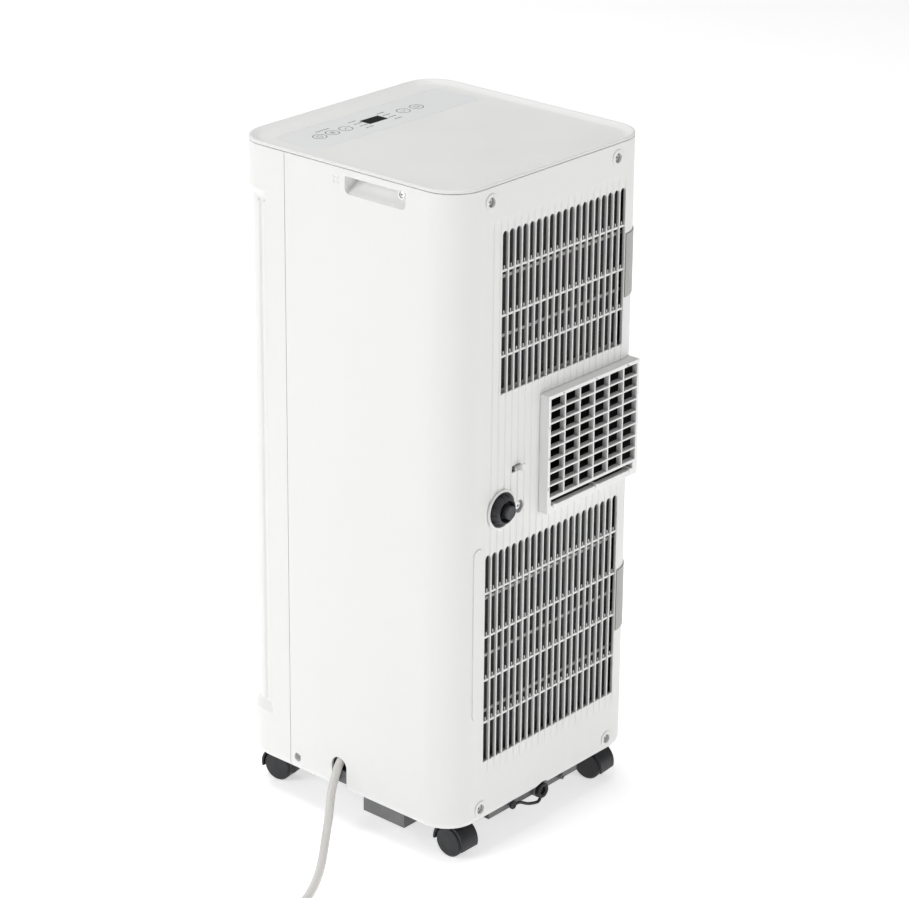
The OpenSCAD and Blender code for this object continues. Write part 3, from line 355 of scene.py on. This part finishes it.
def net_thread(name):
    m, t, s = tree(name)
    twist = noise(t, 1400, 2)
    dust = spread(t, noise(t, 28, 5, rough=0.62), 0.5, 0.8)
    base = blend_colour(t, spread(t, twist, 0.3, 0.7), (0.016, 0.016, 0.017), (0.032, 0.033, 0.034))
    base = blend_colour(t, maths(t, "MULTIPLY", dust, 0.15), base, (0.20, 0.195, 0.19))
    put(t, s.inputs["Base Color"], base)
    s.inputs["Roughness"].default_value = 0.55
    put(t, s.inputs["Normal"], bump(t, twist, 0.0001))
    return m


WHITE = (0.80, 0.80, 0.79)
MATERIALS = {
    # slots=True paints shade into the grille slots and light into the grips' recesses
    "cabinet_white": moulded("cabinet_white", WHITE, 0.40, 1300, 0.00003, 0.0006, low_dust=0.05, slots=True),
    "cover_white": moulded("cover_white", (0.775, 0.775, 0.768), 0.50, 1500, 0.00004, 0.0007),
    "film_pale": film("film_pale"),
    "display_black": glass_black("display_black"),
    "base_grey": moulded(
        "base_grey", (0.13, 0.132, 0.138), 0.48, 900, 0.00006, 0.0006, 0.05, 1.5, low_dust=0.08
    ),
    # collar=True paints shade on the collar's inner walls
    "collar_white": moulded("collar_white", (0.87, 0.87, 0.86), 0.42, 1300, 0.00003, 0.0004, collar=True),
    "duct_black": moulded("duct_black", (0.030, 0.031, 0.033), 0.55, 900, 0.00006, 0.0004, 0.06, 1.5),
    "cap_black": moulded("cap_black", (0.030, 0.031, 0.034), 0.36, 1200, 0.00004, 0.0005, 0.05, 2.0),
    "rubber_black": rubber("rubber_black", (0.018, 0.018, 0.019)),
    "screw_steel": metal("screw_steel", (0.86, 0.86, 0.87), 0.30, scale=700),
    "filter_grey": moulded("filter_grey", (0.40, 0.40, 0.39), 0.45, 1200, 0.00004, 0.0005, 0.03),
    "filter_net": net_thread("filter_net"),
    # the fins' colour is darker than bare aluminium: painted shade for fins that sit behind the grille
    "fin_aluminium": metal("fin_aluminium", (0.36, 0.365, 0.37), 0.40, (1, 1, 0.2), 900),
    "casing_white": moulded("casing_white", (0.68, 0.68, 0.67), 0.55, 900, 0.00006, 0.0006, 0.03),
    "wheel_black": moulded(
        "wheel_black", (0.017, 0.018, 0.021), 0.40, 1100, 0.00004, 0.0006, 0.06, 2.2,
        specular=0.35, low_dust=0.02
    ),
    "fan_black": moulded("fan_black", (0.032, 0.032, 0.034), 0.5, 1000, 0.00005, 0.0004, 0.06, 1.6),
    "motor_steel": metal("motor_steel", (0.50, 0.51, 0.52), 0.36, (0.15, 1, 1), 600),
    "compressor_black": moulded(
        "compressor_black", (0.022, 0.022, 0.023), 0.34, 500, 0.0001, 0.0008, 0.08, 1.8
    ),
    "pipe_copper": metal("pipe_copper", (0.72, 0.36, 0.22), 0.28, (1, 1, 0.15), 500, tarnish=0.6),
    "box_zinc": metal("box_zinc", (0.55, 0.56, 0.57), 0.38, scale=60, tarnish=0.8),
    "board_green": printed_board("board_green"),
    "vane_white": moulded("vane_white", (0.78, 0.78, 0.77), 0.42, 1400, 0.00003, 0.0004),
    "cord_grey": moulded(
        "cord_grey", (0.64, 0.63, 0.605), 0.42, 700, 0.00005, 0.0004, 0.03, 1.05, low_dust=0.05
    ),
    "gland_grey": rubber("gland_grey", (0.05, 0.05, 0.052)),
}
NICKEL = metal("blade_nickel", (0.66, 0.64, 0.58), 0.2, scale=500)
PRINT = moulded("key_print", (0.045, 0.047, 0.05), 0.4, 900, 0.00001, 0.0002)

for part in frame["record"]["subparts"]:
    node = frame["nodes"][part["node"]]
    for held in node.material_slots:
        held.material = MATERIALS[part["material_slot"]]

# ------------------------------------------------------------------ making pieces


def piece(name, data, slot, body, material=None):
    o = bpy.data.objects.new(name, data)
    bpy.context.scene.collection.objects.link(o)
    if not data.materials:
        data.materials.append(material or MATERIALS[slot])
    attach(o, body)
    return o


def from_bmesh(name, b, slot, body, material=None):
    """A piece from b, smooth apart from edges sharper than 30 degrees."""
    b.normal_update()
    data = bpy.data.meshes.new(name)
    b.to_mesh(data)
    b.free()
    for p in data.polygons:
        p.use_smooth = True
    data.set_sharp_from_angle(angle=math.radians(30))
    return piece(name, data, slot, body, material)


def add_block(b, low, high, round_by=0.0, segments=2, turn=None):
    """A box with rounded edges, from corner to corner."""
    made = bmesh.ops.create_cube(b, size=1.0)["verts"]
    size = [h - l for l, h in zip(low, high)]
    middle = Vector([(h + l) / 2 for l, h in zip(low, high)])
    bmesh.ops.scale(b, vec=size, verts=made)
    bmesh.ops.translate(b, vec=middle, verts=made)
    if round_by:
        # dict.fromkeys drops repeats and keeps the order
        lines = list(dict.fromkeys(e for v in made for e in v.link_edges))
        done = bmesh.ops.bevel(b, geom=lines, offset=round_by, segments=segments, profile=0.5, affect="EDGES")
        kept = [v for f in done["faces"] for v in f.verts] + [v for v in made if v.is_valid]
        made = list(dict.fromkeys(kept))
    if turn is not None:
        bmesh.ops.transform(b, matrix=turn, verts=made)
    return made


def add_lathe(b, outline, steps, turn):
    """A shape turned about Z. outline is (radius, height) pairs; a radius of 0 is a pole."""
    rings = []
    for r, z in outline:
        if r <= 1e-9:
            rings.append([b.verts.new((0, 0, z))])
        else:
            rings.append([
                b.verts.new((r * math.cos(2 * math.pi * k / steps), r * math.sin(2 * math.pi * k / steps), z))
                for k in range(steps)
            ])
    for one, two in zip(rings, rings[1:]):
        for k in range(steps):
            j = (k + 1) % steps
            if len(one) == 1:
                b.faces.new((one[0], two[j], two[k]))
            elif len(two) == 1:
                b.faces.new((one[k], one[j], two[0]))
            else:
                b.faces.new((one[k], one[j], two[j], two[k]))
    made = [v for ring in rings for v in ring]
    bmesh.ops.transform(b, matrix=turn, verts=made)
    return made


def pipe(name, points, radius, slot, body, sides):
    """A round bar along a smooth run of points, as a curve object."""
    data = bpy.data.curves.new(name, "CURVE")
    data.dimensions = "3D"
    data.bevel_depth = radius
    data.bevel_resolution = sides
    data.resolution_u = 6
    data.use_fill_caps = True
    run = data.splines.new("BEZIER")
    run.bezier_points.add(len(points) - 1)
    for bp, p in zip(run.bezier_points, points):
        bp.co = p
        bp.handle_left_type = bp.handle_right_type = "AUTO"
    return piece(name, data, slot, body)


def add_tube(b, points, radius, sides=8):
    """A round bar along points that lie in one plane, with closed ends."""
    rings = []
    for k, p in enumerate(points):
        along = (points[min(k + 1, len(points) - 1)] - points[max(k - 1, 0)]).normalized()
        across = along.cross(Vector((0, 1, 0))).normalized()
        other = along.cross(across)
        angles = [2 * math.pi * j / sides for j in range(sides)]
        rings.append([b.verts.new(p + radius * (math.cos(a) * across + math.sin(a) * other)) for a in angles])
    for one, two in zip(rings, rings[1:]):
        for j in range(sides):
            i = (j + 1) % sides
            b.faces.new((one[j], one[i], two[i], two[j]))
    b.faces.new(rings[0])
    b.faces.new(rings[-1])


def solid_of(curve_piece, name):
    """A mesh copy of a curve piece, which takes its place."""
    bpy.context.view_layer.update()
    settled = curve_piece.evaluated_get(bpy.context.evaluated_depsgraph_get())
    data = bpy.data.meshes.new_from_object(settled)
    data.name = name
    bpy.data.objects.remove(curve_piece)
    o = bpy.data.objects.new(name, data)
    bpy.context.scene.collection.objects.link(o)
    return o


# ------------------------------------------------------------------ mains cord

CORD_R = 4.5  # mm
# mm, the points from the arch to the coil, and from the coil to the plug
DROP = [
    (130, -7, 78.5), (134, -7, 74.5), (138, -7, 70.5), (143, -7, 64.5), (148, -6, 57.5),
    (153, -5, 49), (158, -3, 40), (163, 0, 31), (169, 4, 21.5), (177, 9, 13),
    (188, 17, 7.5), (202, 28, 5), (220, 42, 4.6), (240, 56, 4.6), (262, 69, 4.6),
    (285, 79, 4.6), (310, 88, 4.6), (332, 96, 4.6),
]
TAIL = [(372, 199, 10.6), (360, 208, 10.5), (350, 215, 10.5), (339, 222.7, 10.5)]
COIL_AT, COIL_IN, COIL_OUT = (352, 146), 45.0, 54.5  # mm, its middle and its two layers' radii
COIL_FOOT, COIL_RISE, COIL_FALL = 4.6, 9.2, 9.1  # mm, where it starts, and its rise and fall a turn
COIL_HOP = 5.1  # mm, up from the inner layer to the outer one
INNER_TURNS, OUTER_START, COIL_END = 2.0, 2.5, 4.4  # turns from the coil's start
TURN_STEPS = 16


def coil_point(t):
    """A point on the coil after t turns: up the inside, over, and down the outside."""
    over = min(max((t - INNER_TURNS) / (OUTER_START - INNER_TURNS), 0), 1)
    r = COIL_IN + (COIL_OUT - COIL_IN) * (3 * over**2 - 2 * over**3)
    inner_top = COIL_FOOT + COIL_RISE * INNER_TURNS
    if t < INNER_TURNS:
        z = COIL_FOOT + COIL_RISE * t
    elif t < OUTER_START:
        z = inner_top + COIL_HOP * over
    else:
        z = inner_top + COIL_HOP - COIL_FALL * (t - OUTER_START)
    a = math.radians(-90 + 360 * t)
    return COIL_AT[0] + r * math.cos(a), COIL_AT[1] + r * math.sin(a), z


route = [on_floor(*p) for p in DROP]
route += [on_floor(*coil_point(k / TURN_STEPS)) for k in range(round(COIL_END * TURN_STEPS) + 1)]
route += [on_floor(*p) for p in TAIL]
cord = pipe("mains_cord", route, CORD_R / 1000, "cord_grey", "cabinet", sides=5)
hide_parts("power_cord", "cord_coil", "cord_tail")

# The moulded plug, drawn along +Y and then turned onto the end of the cord
PLUG_AT, PLUG_TURN = (318, 238), 54  # mm and degrees
TO_PLUG = Matrix.Translation(on_floor(*PLUG_AT, 0)) @ turned(PLUG_TURN, "Z") @ TO_METRES


def make_plug():
    b = bmesh.new()
    lay = Matrix.Translation((0, 0, 10.5)) @ ALONG_Y
    add_block(b, (-12, 0, 1), (12, 30, 20), 3.2, 4)
    sleeve = [(0, -26), (4.7, -26), (5.0, -25.4)]
    for k in range(6):
        y = -24 + k * 3.4
        r = 5.3 + k * 0.42
        sleeve += [(r, y), (r + 0.5, y + 0.5), (r + 0.5, y + 1.9), (r - 0.3, y + 2.3)]
    sleeve += [(7.9, -3), (8.2, 0.6), (0, 0.6)]
    add_lathe(b, sleeve, 32, lay)
    for side in (-1, 1):
        for k in range(5):
            y = 8 + k * 3.4
            add_block(b, (side * 12 - 0.7, y, 5), (side * 12 + 0.4, y + 1.5, 16), 0.3, 2)
    add_block(b, (-9, 29.2, 3.6), (9, 30.2, 17.4), 0.4, 2)
    bmesh.ops.transform(b, matrix=TO_PLUG, verts=b.verts)
    body = from_bmesh("mains_plug", b, "cord_grey", "cabinet")
    b = bmesh.new()
    for x in (-6.35, 6.35):
        add_block(b, (x - 0.75, 29.4, 7.4), (x + 0.75, 47, 13.7), 0.35, 2)
    pin = [(0, 29.4), (2.4, 29.4), (2.4, 47.5), (2.0, 49.0), (1.2, 49.8), (0, 50)]
    add_lathe(b, pin, 24, Matrix.Translation((0, 0, 4.6)) @ ALONG_Y)
    bmesh.ops.transform(b, matrix=TO_PLUG, verts=b.verts)
    blades = from_bmesh("plug_blades", b, "cord_grey", "cabinet", NICKEL)
    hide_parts("power_plug")
    return [body, blades]


plug = make_plug()


def make_tie():
    """A hook-and-loop strap round the coil's turns on the side away from the cabinet."""
    b = bmesh.new()
    middle = (COIL_IN + COIL_OUT) / 2
    across, tall, wide = 10.4, 18.2, 7
    height, thickness, lowest = 16.4, 0.7, 0.05
    steps, squareness = 32, 2.6
    outline = []
    for k in range(steps):
        u = 2 * math.pi * k / steps
        cx, cz = math.cos(u), math.sin(u)
        grow = 1 / (abs(cx) ** squareness + abs(cz) ** squareness) ** (1 / squareness)
        outline.append((across * cx * grow, tall * cz * grow))
    ends = []
    for y in (-wide, wide):
        for thick in (0.0, thickness):
            wider, taller = 1 + thick / across, 1 + thick / tall
            ring = [(x * wider, y, max(height + z * taller, lowest)) for x, z in outline]
            ends.append([b.verts.new(p) for p in ring])
    inner_a, outer_a, inner_b, outer_b = ends
    for k in range(steps):
        j = (k + 1) % steps
        for one, two in ((outer_a, outer_b), (outer_b, inner_b), (inner_b, inner_a), (inner_a, outer_a)):
            b.faces.new((one[k], one[j], two[j], two[k]))
    spot = Matrix.Translation(on_floor(*COIL_AT, 0)) @ TO_METRES @ Matrix.Translation((middle, 0, 0))
    bmesh.ops.transform(b, matrix=spot, verts=b.verts)
    bmesh.ops.recalc_face_normals(b, faces=b.faces)
    return from_bmesh("cord_tie", b, "rubber_black", "cabinet")


tie = make_tie()


def make_strain_relief():
    """A tapered rubber sleeve with slots between its ribs, along the cord's first stretch."""
    b = bmesh.new()
    outline = [(0, -24), (8.6, -24), (9.0, -23.6), (9.0, -20.4), (8.6, -20), (7.6, -20), (7.4, -19.6)]
    for k in range(5):
        z = -18.6 + k * 3.5
        r = 7.3 - k * 0.36
        outline += [(r, z), (r, z + 2.0), (r - 0.25, z + 2.3)]
        outline += [(5.1, z + 2.3), (5.1, z + 3.2), (r - 0.5, z + 3.2)]
    outline += [(5.6, -1.0), (5.4, -0.2), (5.0, 0), (0, 0)]
    turn = Matrix.Translation(on_floor(*DROP[0])) @ turned(135, "Y") @ TO_METRES
    add_lathe(b, outline, 40, turn)
    for k in range(4):
        z = -16.4 + k * 3.5
        for a in (0, 90) if k % 2 else (45, 135):
            ribs = turn @ turned(a, "Z")
            add_block(b, (-6.0 + k * 0.3, -1.2, z), (6.0 - k * 0.3, 1.2, z + 1.2), 0, turn=ribs)
    sleeve = from_bmesh("strain_relief", b, "gland_grey", "cabinet")
    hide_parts("cord_gland")


make_strain_relief()

# ------------------------------------------------------------------ filters and coils

FILTER_Y = HALF - 11.9
UPPER_NET, LOWER_NET = (490, 657), (104, 335)


def make_net(name, z, body, node):
    """A woven net: upright threads that pass before and behind the level ones by turns."""
    b = bmesh.new()
    pitch, r, wave, y = 1.4, 0.24, 0.12, FILTER_Y + 2.0
    x = (-119, 97)
    for k in range(int((x[1] - x[0]) / pitch) + 1):
        at = x[0] + k * pitch
        side = wave if k % 2 else -wave
        add_block(b, (at - r, y - r + side, z[0]), (at + r, y + r + side, z[1]))
    for k in range(int((z[1] - z[0]) / pitch) + 1):
        at = z[0] + k * pitch
        add_block(b, (x[0], y - r, at - r), (x[1], y + r, at + r))
    bmesh.ops.transform(b, matrix=IN_CAB, verts=b.verts)
    net = from_bmesh(name, b, "filter_net", body)
    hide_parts(node)


make_net("upper_net", UPPER_NET, "upper_filter", "upper_filter_mesh")
make_net("lower_net", LOWER_NET, "lower_filter", "lower_filter_mesh")

COIL_X, COIL_Y = (-100, 100), (90, 116)


def make_coil(name, z, rows, node):
    """A heat exchanger: thin upright fins on level tubes, with return bends at both ends."""
    b = bmesh.new()
    pitch = 1.9
    count = int((COIL_X[1] - COIL_X[0] - 4) / pitch)
    for k in range(count + 1):
        at = COIL_X[0] + 2 + k * pitch
        add_block(b, (at - 0.12, COIL_Y[0], z[0]), (at + 0.12, COIL_Y[1], z[1]))
    for x in COIL_X:
        add_block(b, (x - 1, COIL_Y[0] - 2, z[0]), (x + 1, COIL_Y[1] + 2, z[1]), 0.3, 1)
        tab = x + math.copysign(4, x)
        for y in (COIL_Y[0] - 1.6, COIL_Y[1] + 1.6):
            for part in (0.2, 0.8):
                at = z[0] + part * (z[1] - z[0])
                add_block(b, (tab - 4, y - 0.4, at - 5), (tab + 4, y + 0.4, at + 5), 0.2, 1)
    bmesh.ops.transform(b, matrix=IN_CAB, verts=b.verts)
    fins = from_bmesh(name + "_fins", b, "fin_aluminium", "cabinet")
    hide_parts(node)
    step = (z[1] - z[0]) / rows
    middle = (COIL_Y[0] + COIL_Y[1]) / 2
    b = bmesh.new()
    for j in range(rows):
        low, high = z[0] + (j + 0.25) * step, z[0] + (j + 0.75) * step
        for side in (-1, 1):
            r = step / 4
            arc = [
                Vector((side * (COIL_X[1] + r * math.cos(a)), middle, (low + high) / 2 + r * math.sin(a)))
                for a in (math.radians(v) for v in range(-90, 91, 15))
            ]
            ends = [Vector((side * (COIL_X[1] - 3), middle, h)) for h in (low, high)]
            add_tube(b, [ends[0], *arc, ends[1]], 3.5)
    bmesh.ops.recalc_face_normals(b, faces=b.faces)
    bmesh.ops.transform(b, matrix=IN_CAB, verts=b.verts)
    from_bmesh(name + "_bends", b, "pipe_copper", "cabinet")


make_coil("evaporator", (492, 656), 7, "evaporator_coil")
make_coil("condenser", (104, 334), 9, "condenser_coil")

# ------------------------------------------------------------------ rear details

SLOT_X0, SLOT_PITCH = -102.65, 9.7
UPPER_BARS, LOWER_BARS = (528, 568.8, 613.5), (151.7, 197.1, 243.4, 289.8)


def make_pegs():
    """The small moulded stops that stand on every grille bar, one in each slot."""
    b = bmesh.new()
    for count, bars in ((19, UPPER_BARS), (21, LOWER_BARS)):
        for bar in bars:
            for k in range(count):
                x = SLOT_X0 + k * SLOT_PITCH - 1.6
                add_block(b, (x - 0.65, HALF - 3.3, bar + 0.9), (x + 0.65, HALF - 2.1, bar + 4.4), 0.3, 1)
    bmesh.ops.transform(b, matrix=IN_CAB, verts=b.verts)
    from_bmesh("grille_pegs", b, "vane_white", "cabinet")


make_pegs()

MID_DRAIN = (73.4, 372.4)


def on_rear(spot, y=HALF):
    """Turns a shape drawn along Z, in millimetres, to stand out of the rear wall."""
    return IN_CAB @ Matrix.Translation((spot[0], y, spot[1])) @ ALONG_Y


def make_drain_cap():
    b = bmesh.new()
    outline = [
        (0, -24), (5.4, -24), (5.88, -23.4), (5.88, -7), (17.3, -7),
        (17.3, -0.7), (16.9, -0.1), (15.9, -0.1), (15.6, -0.8),
    ]
    steps = 10
    for k in range(steps):
        r = 15.3 - k * 0.27
        z = -0.6 + k * 0.86
        outline += [(r, z), (r - 0.05, z + 0.55), (r - 0.24, z + 0.62)]
    outline += [
        (12.4, 8.2), (12.0, 8.55), (11.3, 8.55), (10.8, 8.1), (10.6, 7.2), (10.4, 1.6), (7.0, 1.6),
        (6.8, 11.6), (6.75, 12.6), (6.4, 13.2), (5.8, 13.5), (5.0, 13.45), (4.7, 13.2), (0, 13.2),
    ]
    turn = on_rear(MID_DRAIN)
    add_lathe(b, outline, 72, turn)
    for a in range(8, 368, 30):
        lean = turn @ turned(a, "Z") @ Matrix.Translation((14.1, 0, 3.4)) @ turned(73, "Y")
        add_block(b, (-3.4, -0.45, -0.6), (3.4, 0.45, 0.75), 0.25, 2, lean)
    cap = from_bmesh("drain_cap", b, "cap_black", "mid_cap")
    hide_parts("mid_drain_cap")


make_drain_cap()


REAR_SCREWS = ((92.9, 685.3), (-92.9, 685.3), (98.8, 59.5), (-98.8, 59.5))
MID_SCREW, SIDE_SCREW, TOP_SCREW = (45.8, 366.8), (-64.2, 59.4), (74.5, 689)


def add_screw(b, r, shank, turn):
    """A pan-head screw with a deep cross in it, drawn along Z with its rim at 0."""
    steps, well = 32, r * 0.45
    dome = [
        (0, -shank), (well, -shank + 0.8), (r * 0.5, -1.6), (r * 0.95, -1.6), (r, -1.45),
        (r, -0.8), (r * 0.93, -0.35), (r * 0.72, -0.08), (well, 0),
    ]
    rim = add_lathe(b, dome, steps, turn)[-steps:]
    # The head's middle steps down between four raised quarters, which leaves the cross
    angles = [2 * math.pi * k / steps for k in range(steps)]
    low = [b.verts.new(turn @ Vector((well * math.cos(a), well * math.sin(a), -0.75))) for a in angles]
    for k in range(steps):
        j = (k + 1) % steps
        b.faces.new((rim[k], rim[j], low[j], low[k]))
    b.faces.new(low)
    for a in (0, 90, 180, 270):
        add_block(b, (r * 0.11, r * 0.11, -0.8), (r * 0.33, r * 0.33, -0.06), turn=turn @ turned(a, "Z"))


def add_cross_shade(b, r, turn):
    """Black blocks at the bottom of a screw's cross: painted shade for the recess."""
    for a in (0, 90):
        add_block(b, (-r * 0.42, -r * 0.1, -0.76), (r * 0.42, r * 0.1, -0.5), turn=turn @ turned(a, "Z"))


def make_screws():
    b, cross_shade_mesh = bmesh.new(), bmesh.new()
    for spot in REAR_SCREWS:
        add_screw(b, 3.9, 8.5, on_rear(spot, HALF - 1.6))
        add_cross_shade(cross_shade_mesh, 3.9, on_rear(spot, HALF - 1.6))
    add_screw(b, 4.2, 8, on_rear(MID_SCREW, HALF - 2.3))
    add_cross_shade(cross_shade_mesh, 4.2, on_rear(MID_SCREW, HALF - 2.3))
    rear = from_bmesh("rear_screw_heads", b, "screw_steel", "cabinet")
    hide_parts("rear_screws")
    b = bmesh.new()
    for side in (-1, 1):
        out = turned(90 * side, "Y")
        for r, shank, depth, spot in ((3.6, 6, 3.2, SIDE_SCREW), (2.9, 8, 2.2, TOP_SCREW)):
            head = IN_CAB @ Matrix.Translation((side * (HALF - depth), *spot)) @ out
            add_screw(b, r, shank, head)
            add_cross_shade(cross_shade_mesh, r, head)
    sides = from_bmesh("side_screw_heads", b, "screw_steel", "cabinet")
    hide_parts("side_screws")
    # painted shade: black blocks set in each screw's cross recess
    from_bmesh("screw_cross_shades", cross_shade_mesh, "screw_steel", "cabinet", MATERIALS["cap_black"])


make_screws()


def make_strap():
    """The rubber strap from its pin on the base to the lower plug's ring."""
    y = HALF - 1.6
    way = [
        (46, 41.3), (44, 41.3), (38, 41), (32, 38.5), (27, 35.6), (22, 33.2),
        (16, 31.2), (11, 29.9), (7.5, 29.4), (5.2, 30.6), (3.8, 32.8), (3.2, 34.6),
    ]
    points = [cab(x, y, z) for x, z in way]
    made = pipe("strap_curve", points, 0.0016, "rubber_black", "cabinet", sides=4)
    o = solid_of(made, "plug_strap")
    b = bmesh.new()
    b.from_mesh(o.data)
    head = [(0, -3.4), (3.9, -3.4), (4.4, -2.9), (4.4, -0.8), (3.9, -0.2), (2.4, 0), (2.2, -0.5), (0, -0.5)]
    add_lathe(b, [(r, z + 3.2) for r, z in head], 32, on_rear((46, 41.5), HALF - 3.4))
    b.to_mesh(o.data)
    b.free()
    for p in o.data.polygons:
        p.use_smooth = True
    o.data.set_sharp_from_angle(angle=math.radians(35))
    o.data.materials.clear()
    o.data.materials.append(MATERIALS["rubber_black"])
    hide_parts("drain_strap")
    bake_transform(o)


make_strap()

# ------------------------------------------------------------------ control film

FILM_TOP = 699.6  # mm, in the cabinet's own coordinates


def add_stroke(b, points, width):
    """A printed line through flat points, a hair thick."""
    for (x0, y0), (x1, y1) in zip(points, points[1:]):
        long = math.hypot(x1 - x0, y1 - y0)
        middle = Matrix.Translation(((x0 + x1) / 2, (y0 + y1) / 2, FILM_TOP))
        turn = IN_CAB @ middle @ Matrix.Rotation(math.atan2(y1 - y0, x1 - x0), 4, "Z")
        reach = long / 2 + width / 3
        add_block(b, (-reach, -width / 2, 0.01), (reach, width / 2, 0.05), turn=turn)


def add_arc(b, x, y, r, width, start=0, end=360, steps=40):
    turns = [math.radians(start + (end - start) * k / steps) for k in range(steps + 1)]
    add_stroke(b, [(x + r * math.cos(a), y + r * math.sin(a)) for a in turns], width)


def make_prints():
    """Five ringed touch keys with plain signs, and short marks beside the display."""
    b = bmesh.new()
    y = -82.7
    keys = (84.3, 66.7, 47.9, -35.1, -54.5)
    for x in keys:
        add_arc(b, x, y, 6.9, 0.7)
    x = keys[0]
    add_arc(b, x, y, 2.9, 0.5, 125, 415, 24)
    add_stroke(b, [(x, y + 0.4), (x, y + 3.6)], 0.5)
    x = keys[1]
    for k in range(3):
        a = math.radians(90 + 120 * k)
        add_arc(b, x + 1.7 * math.cos(a), y + 1.7 * math.sin(a), 1.25, 0.38, steps=14)
    x = keys[2]
    add_stroke(b, [(x - 2.6, y + 0.6), (x - 0.8, y - 1.6), (x + 2.8, y + 2.2)], 0.5)
    x = keys[3]
    add_stroke(b, [(x - 2.8, y - 1.2), (x, y + 1.6), (x + 2.8, y - 1.2)], 0.5)
    x = keys[4]
    add_arc(b, x, y, 2.9, 0.42, steps=24)
    add_stroke(b, [(x, y + 1.8), (x, y), (x + 1.5, y - 1.0)], 0.4)
    for at in (27.6, -13.4):
        for row in (-11, -3, 5, 13):
            add_stroke(b, [(at - 5, y + row), (at + 0.5, y + row)], 1.1)
            add_stroke(b, [(at + 2, y + row), (at + 5, y + row)], 1.1)
    add_stroke(b, [(59, y - 12.5), (77, y - 12.5)], 1.0)
    from_bmesh("key_prints", b, "film_pale", "cabinet", PRINT)


make_prints()

# ------------------------------------------------------------------ stage and light


def make_stage():
    b = bmesh.new()
    bmesh.ops.create_circle(b, cap_ends=True, segments=96, radius=14)
    data = bpy.data.meshes.new("floor")
    b.to_mesh(data)
    b.free()
    floor = bpy.data.objects.new("floor", data)
    bpy.context.scene.collection.objects.link(floor)
    m, t, s = tree("floor")
    put(t, s.inputs["Base Color"], (0.86, 0.86, 0.86))
    s.inputs["Roughness"].default_value = 0.7
    s.inputs["Specular IOR Level"].default_value = 0.15
    s.inputs["Emission Color"].default_value = (1, 1, 1, 1)
    s.inputs["Emission Strength"].default_value = 0.56
    data.materials.append(m)
    world = bpy.data.worlds.new("studio")
    world.use_nodes = True
    background = world.node_tree.nodes["Background"]
    background.inputs["Color"].default_value = (1, 1, 1, 1)
    background.inputs["Strength"].default_value = 0.22
    bpy.context.scene.world = world
    aim = Vector((0, 0, 0.38))
    for name, place, size, power in (
        ("key", (3.3, -1.25, 1.9), 2.2, 57),
        ("rear_fill", (-0.3, 3.6, 1.8), 2.0, 39),
        ("top_fill", (0.2, -0.4, 3.6), 2.0, 54),
        ("front_fill", (-1.2, -3.2, 1.7), 2.2, 14),
    ):
        data = bpy.data.lights.new(name, "AREA")
        data.shape = "DISK"
        data.size = size
        data.energy = power
        lamp = bpy.data.objects.new(name, data)
        bpy.context.scene.collection.objects.link(lamp)
        lamp.location = place
        lamp.rotation_euler = (aim - Vector(place)).to_track_quat("-Z", "Y").to_euler()
    bpy.context.scene.view_settings.view_transform = "Standard"


make_stage()
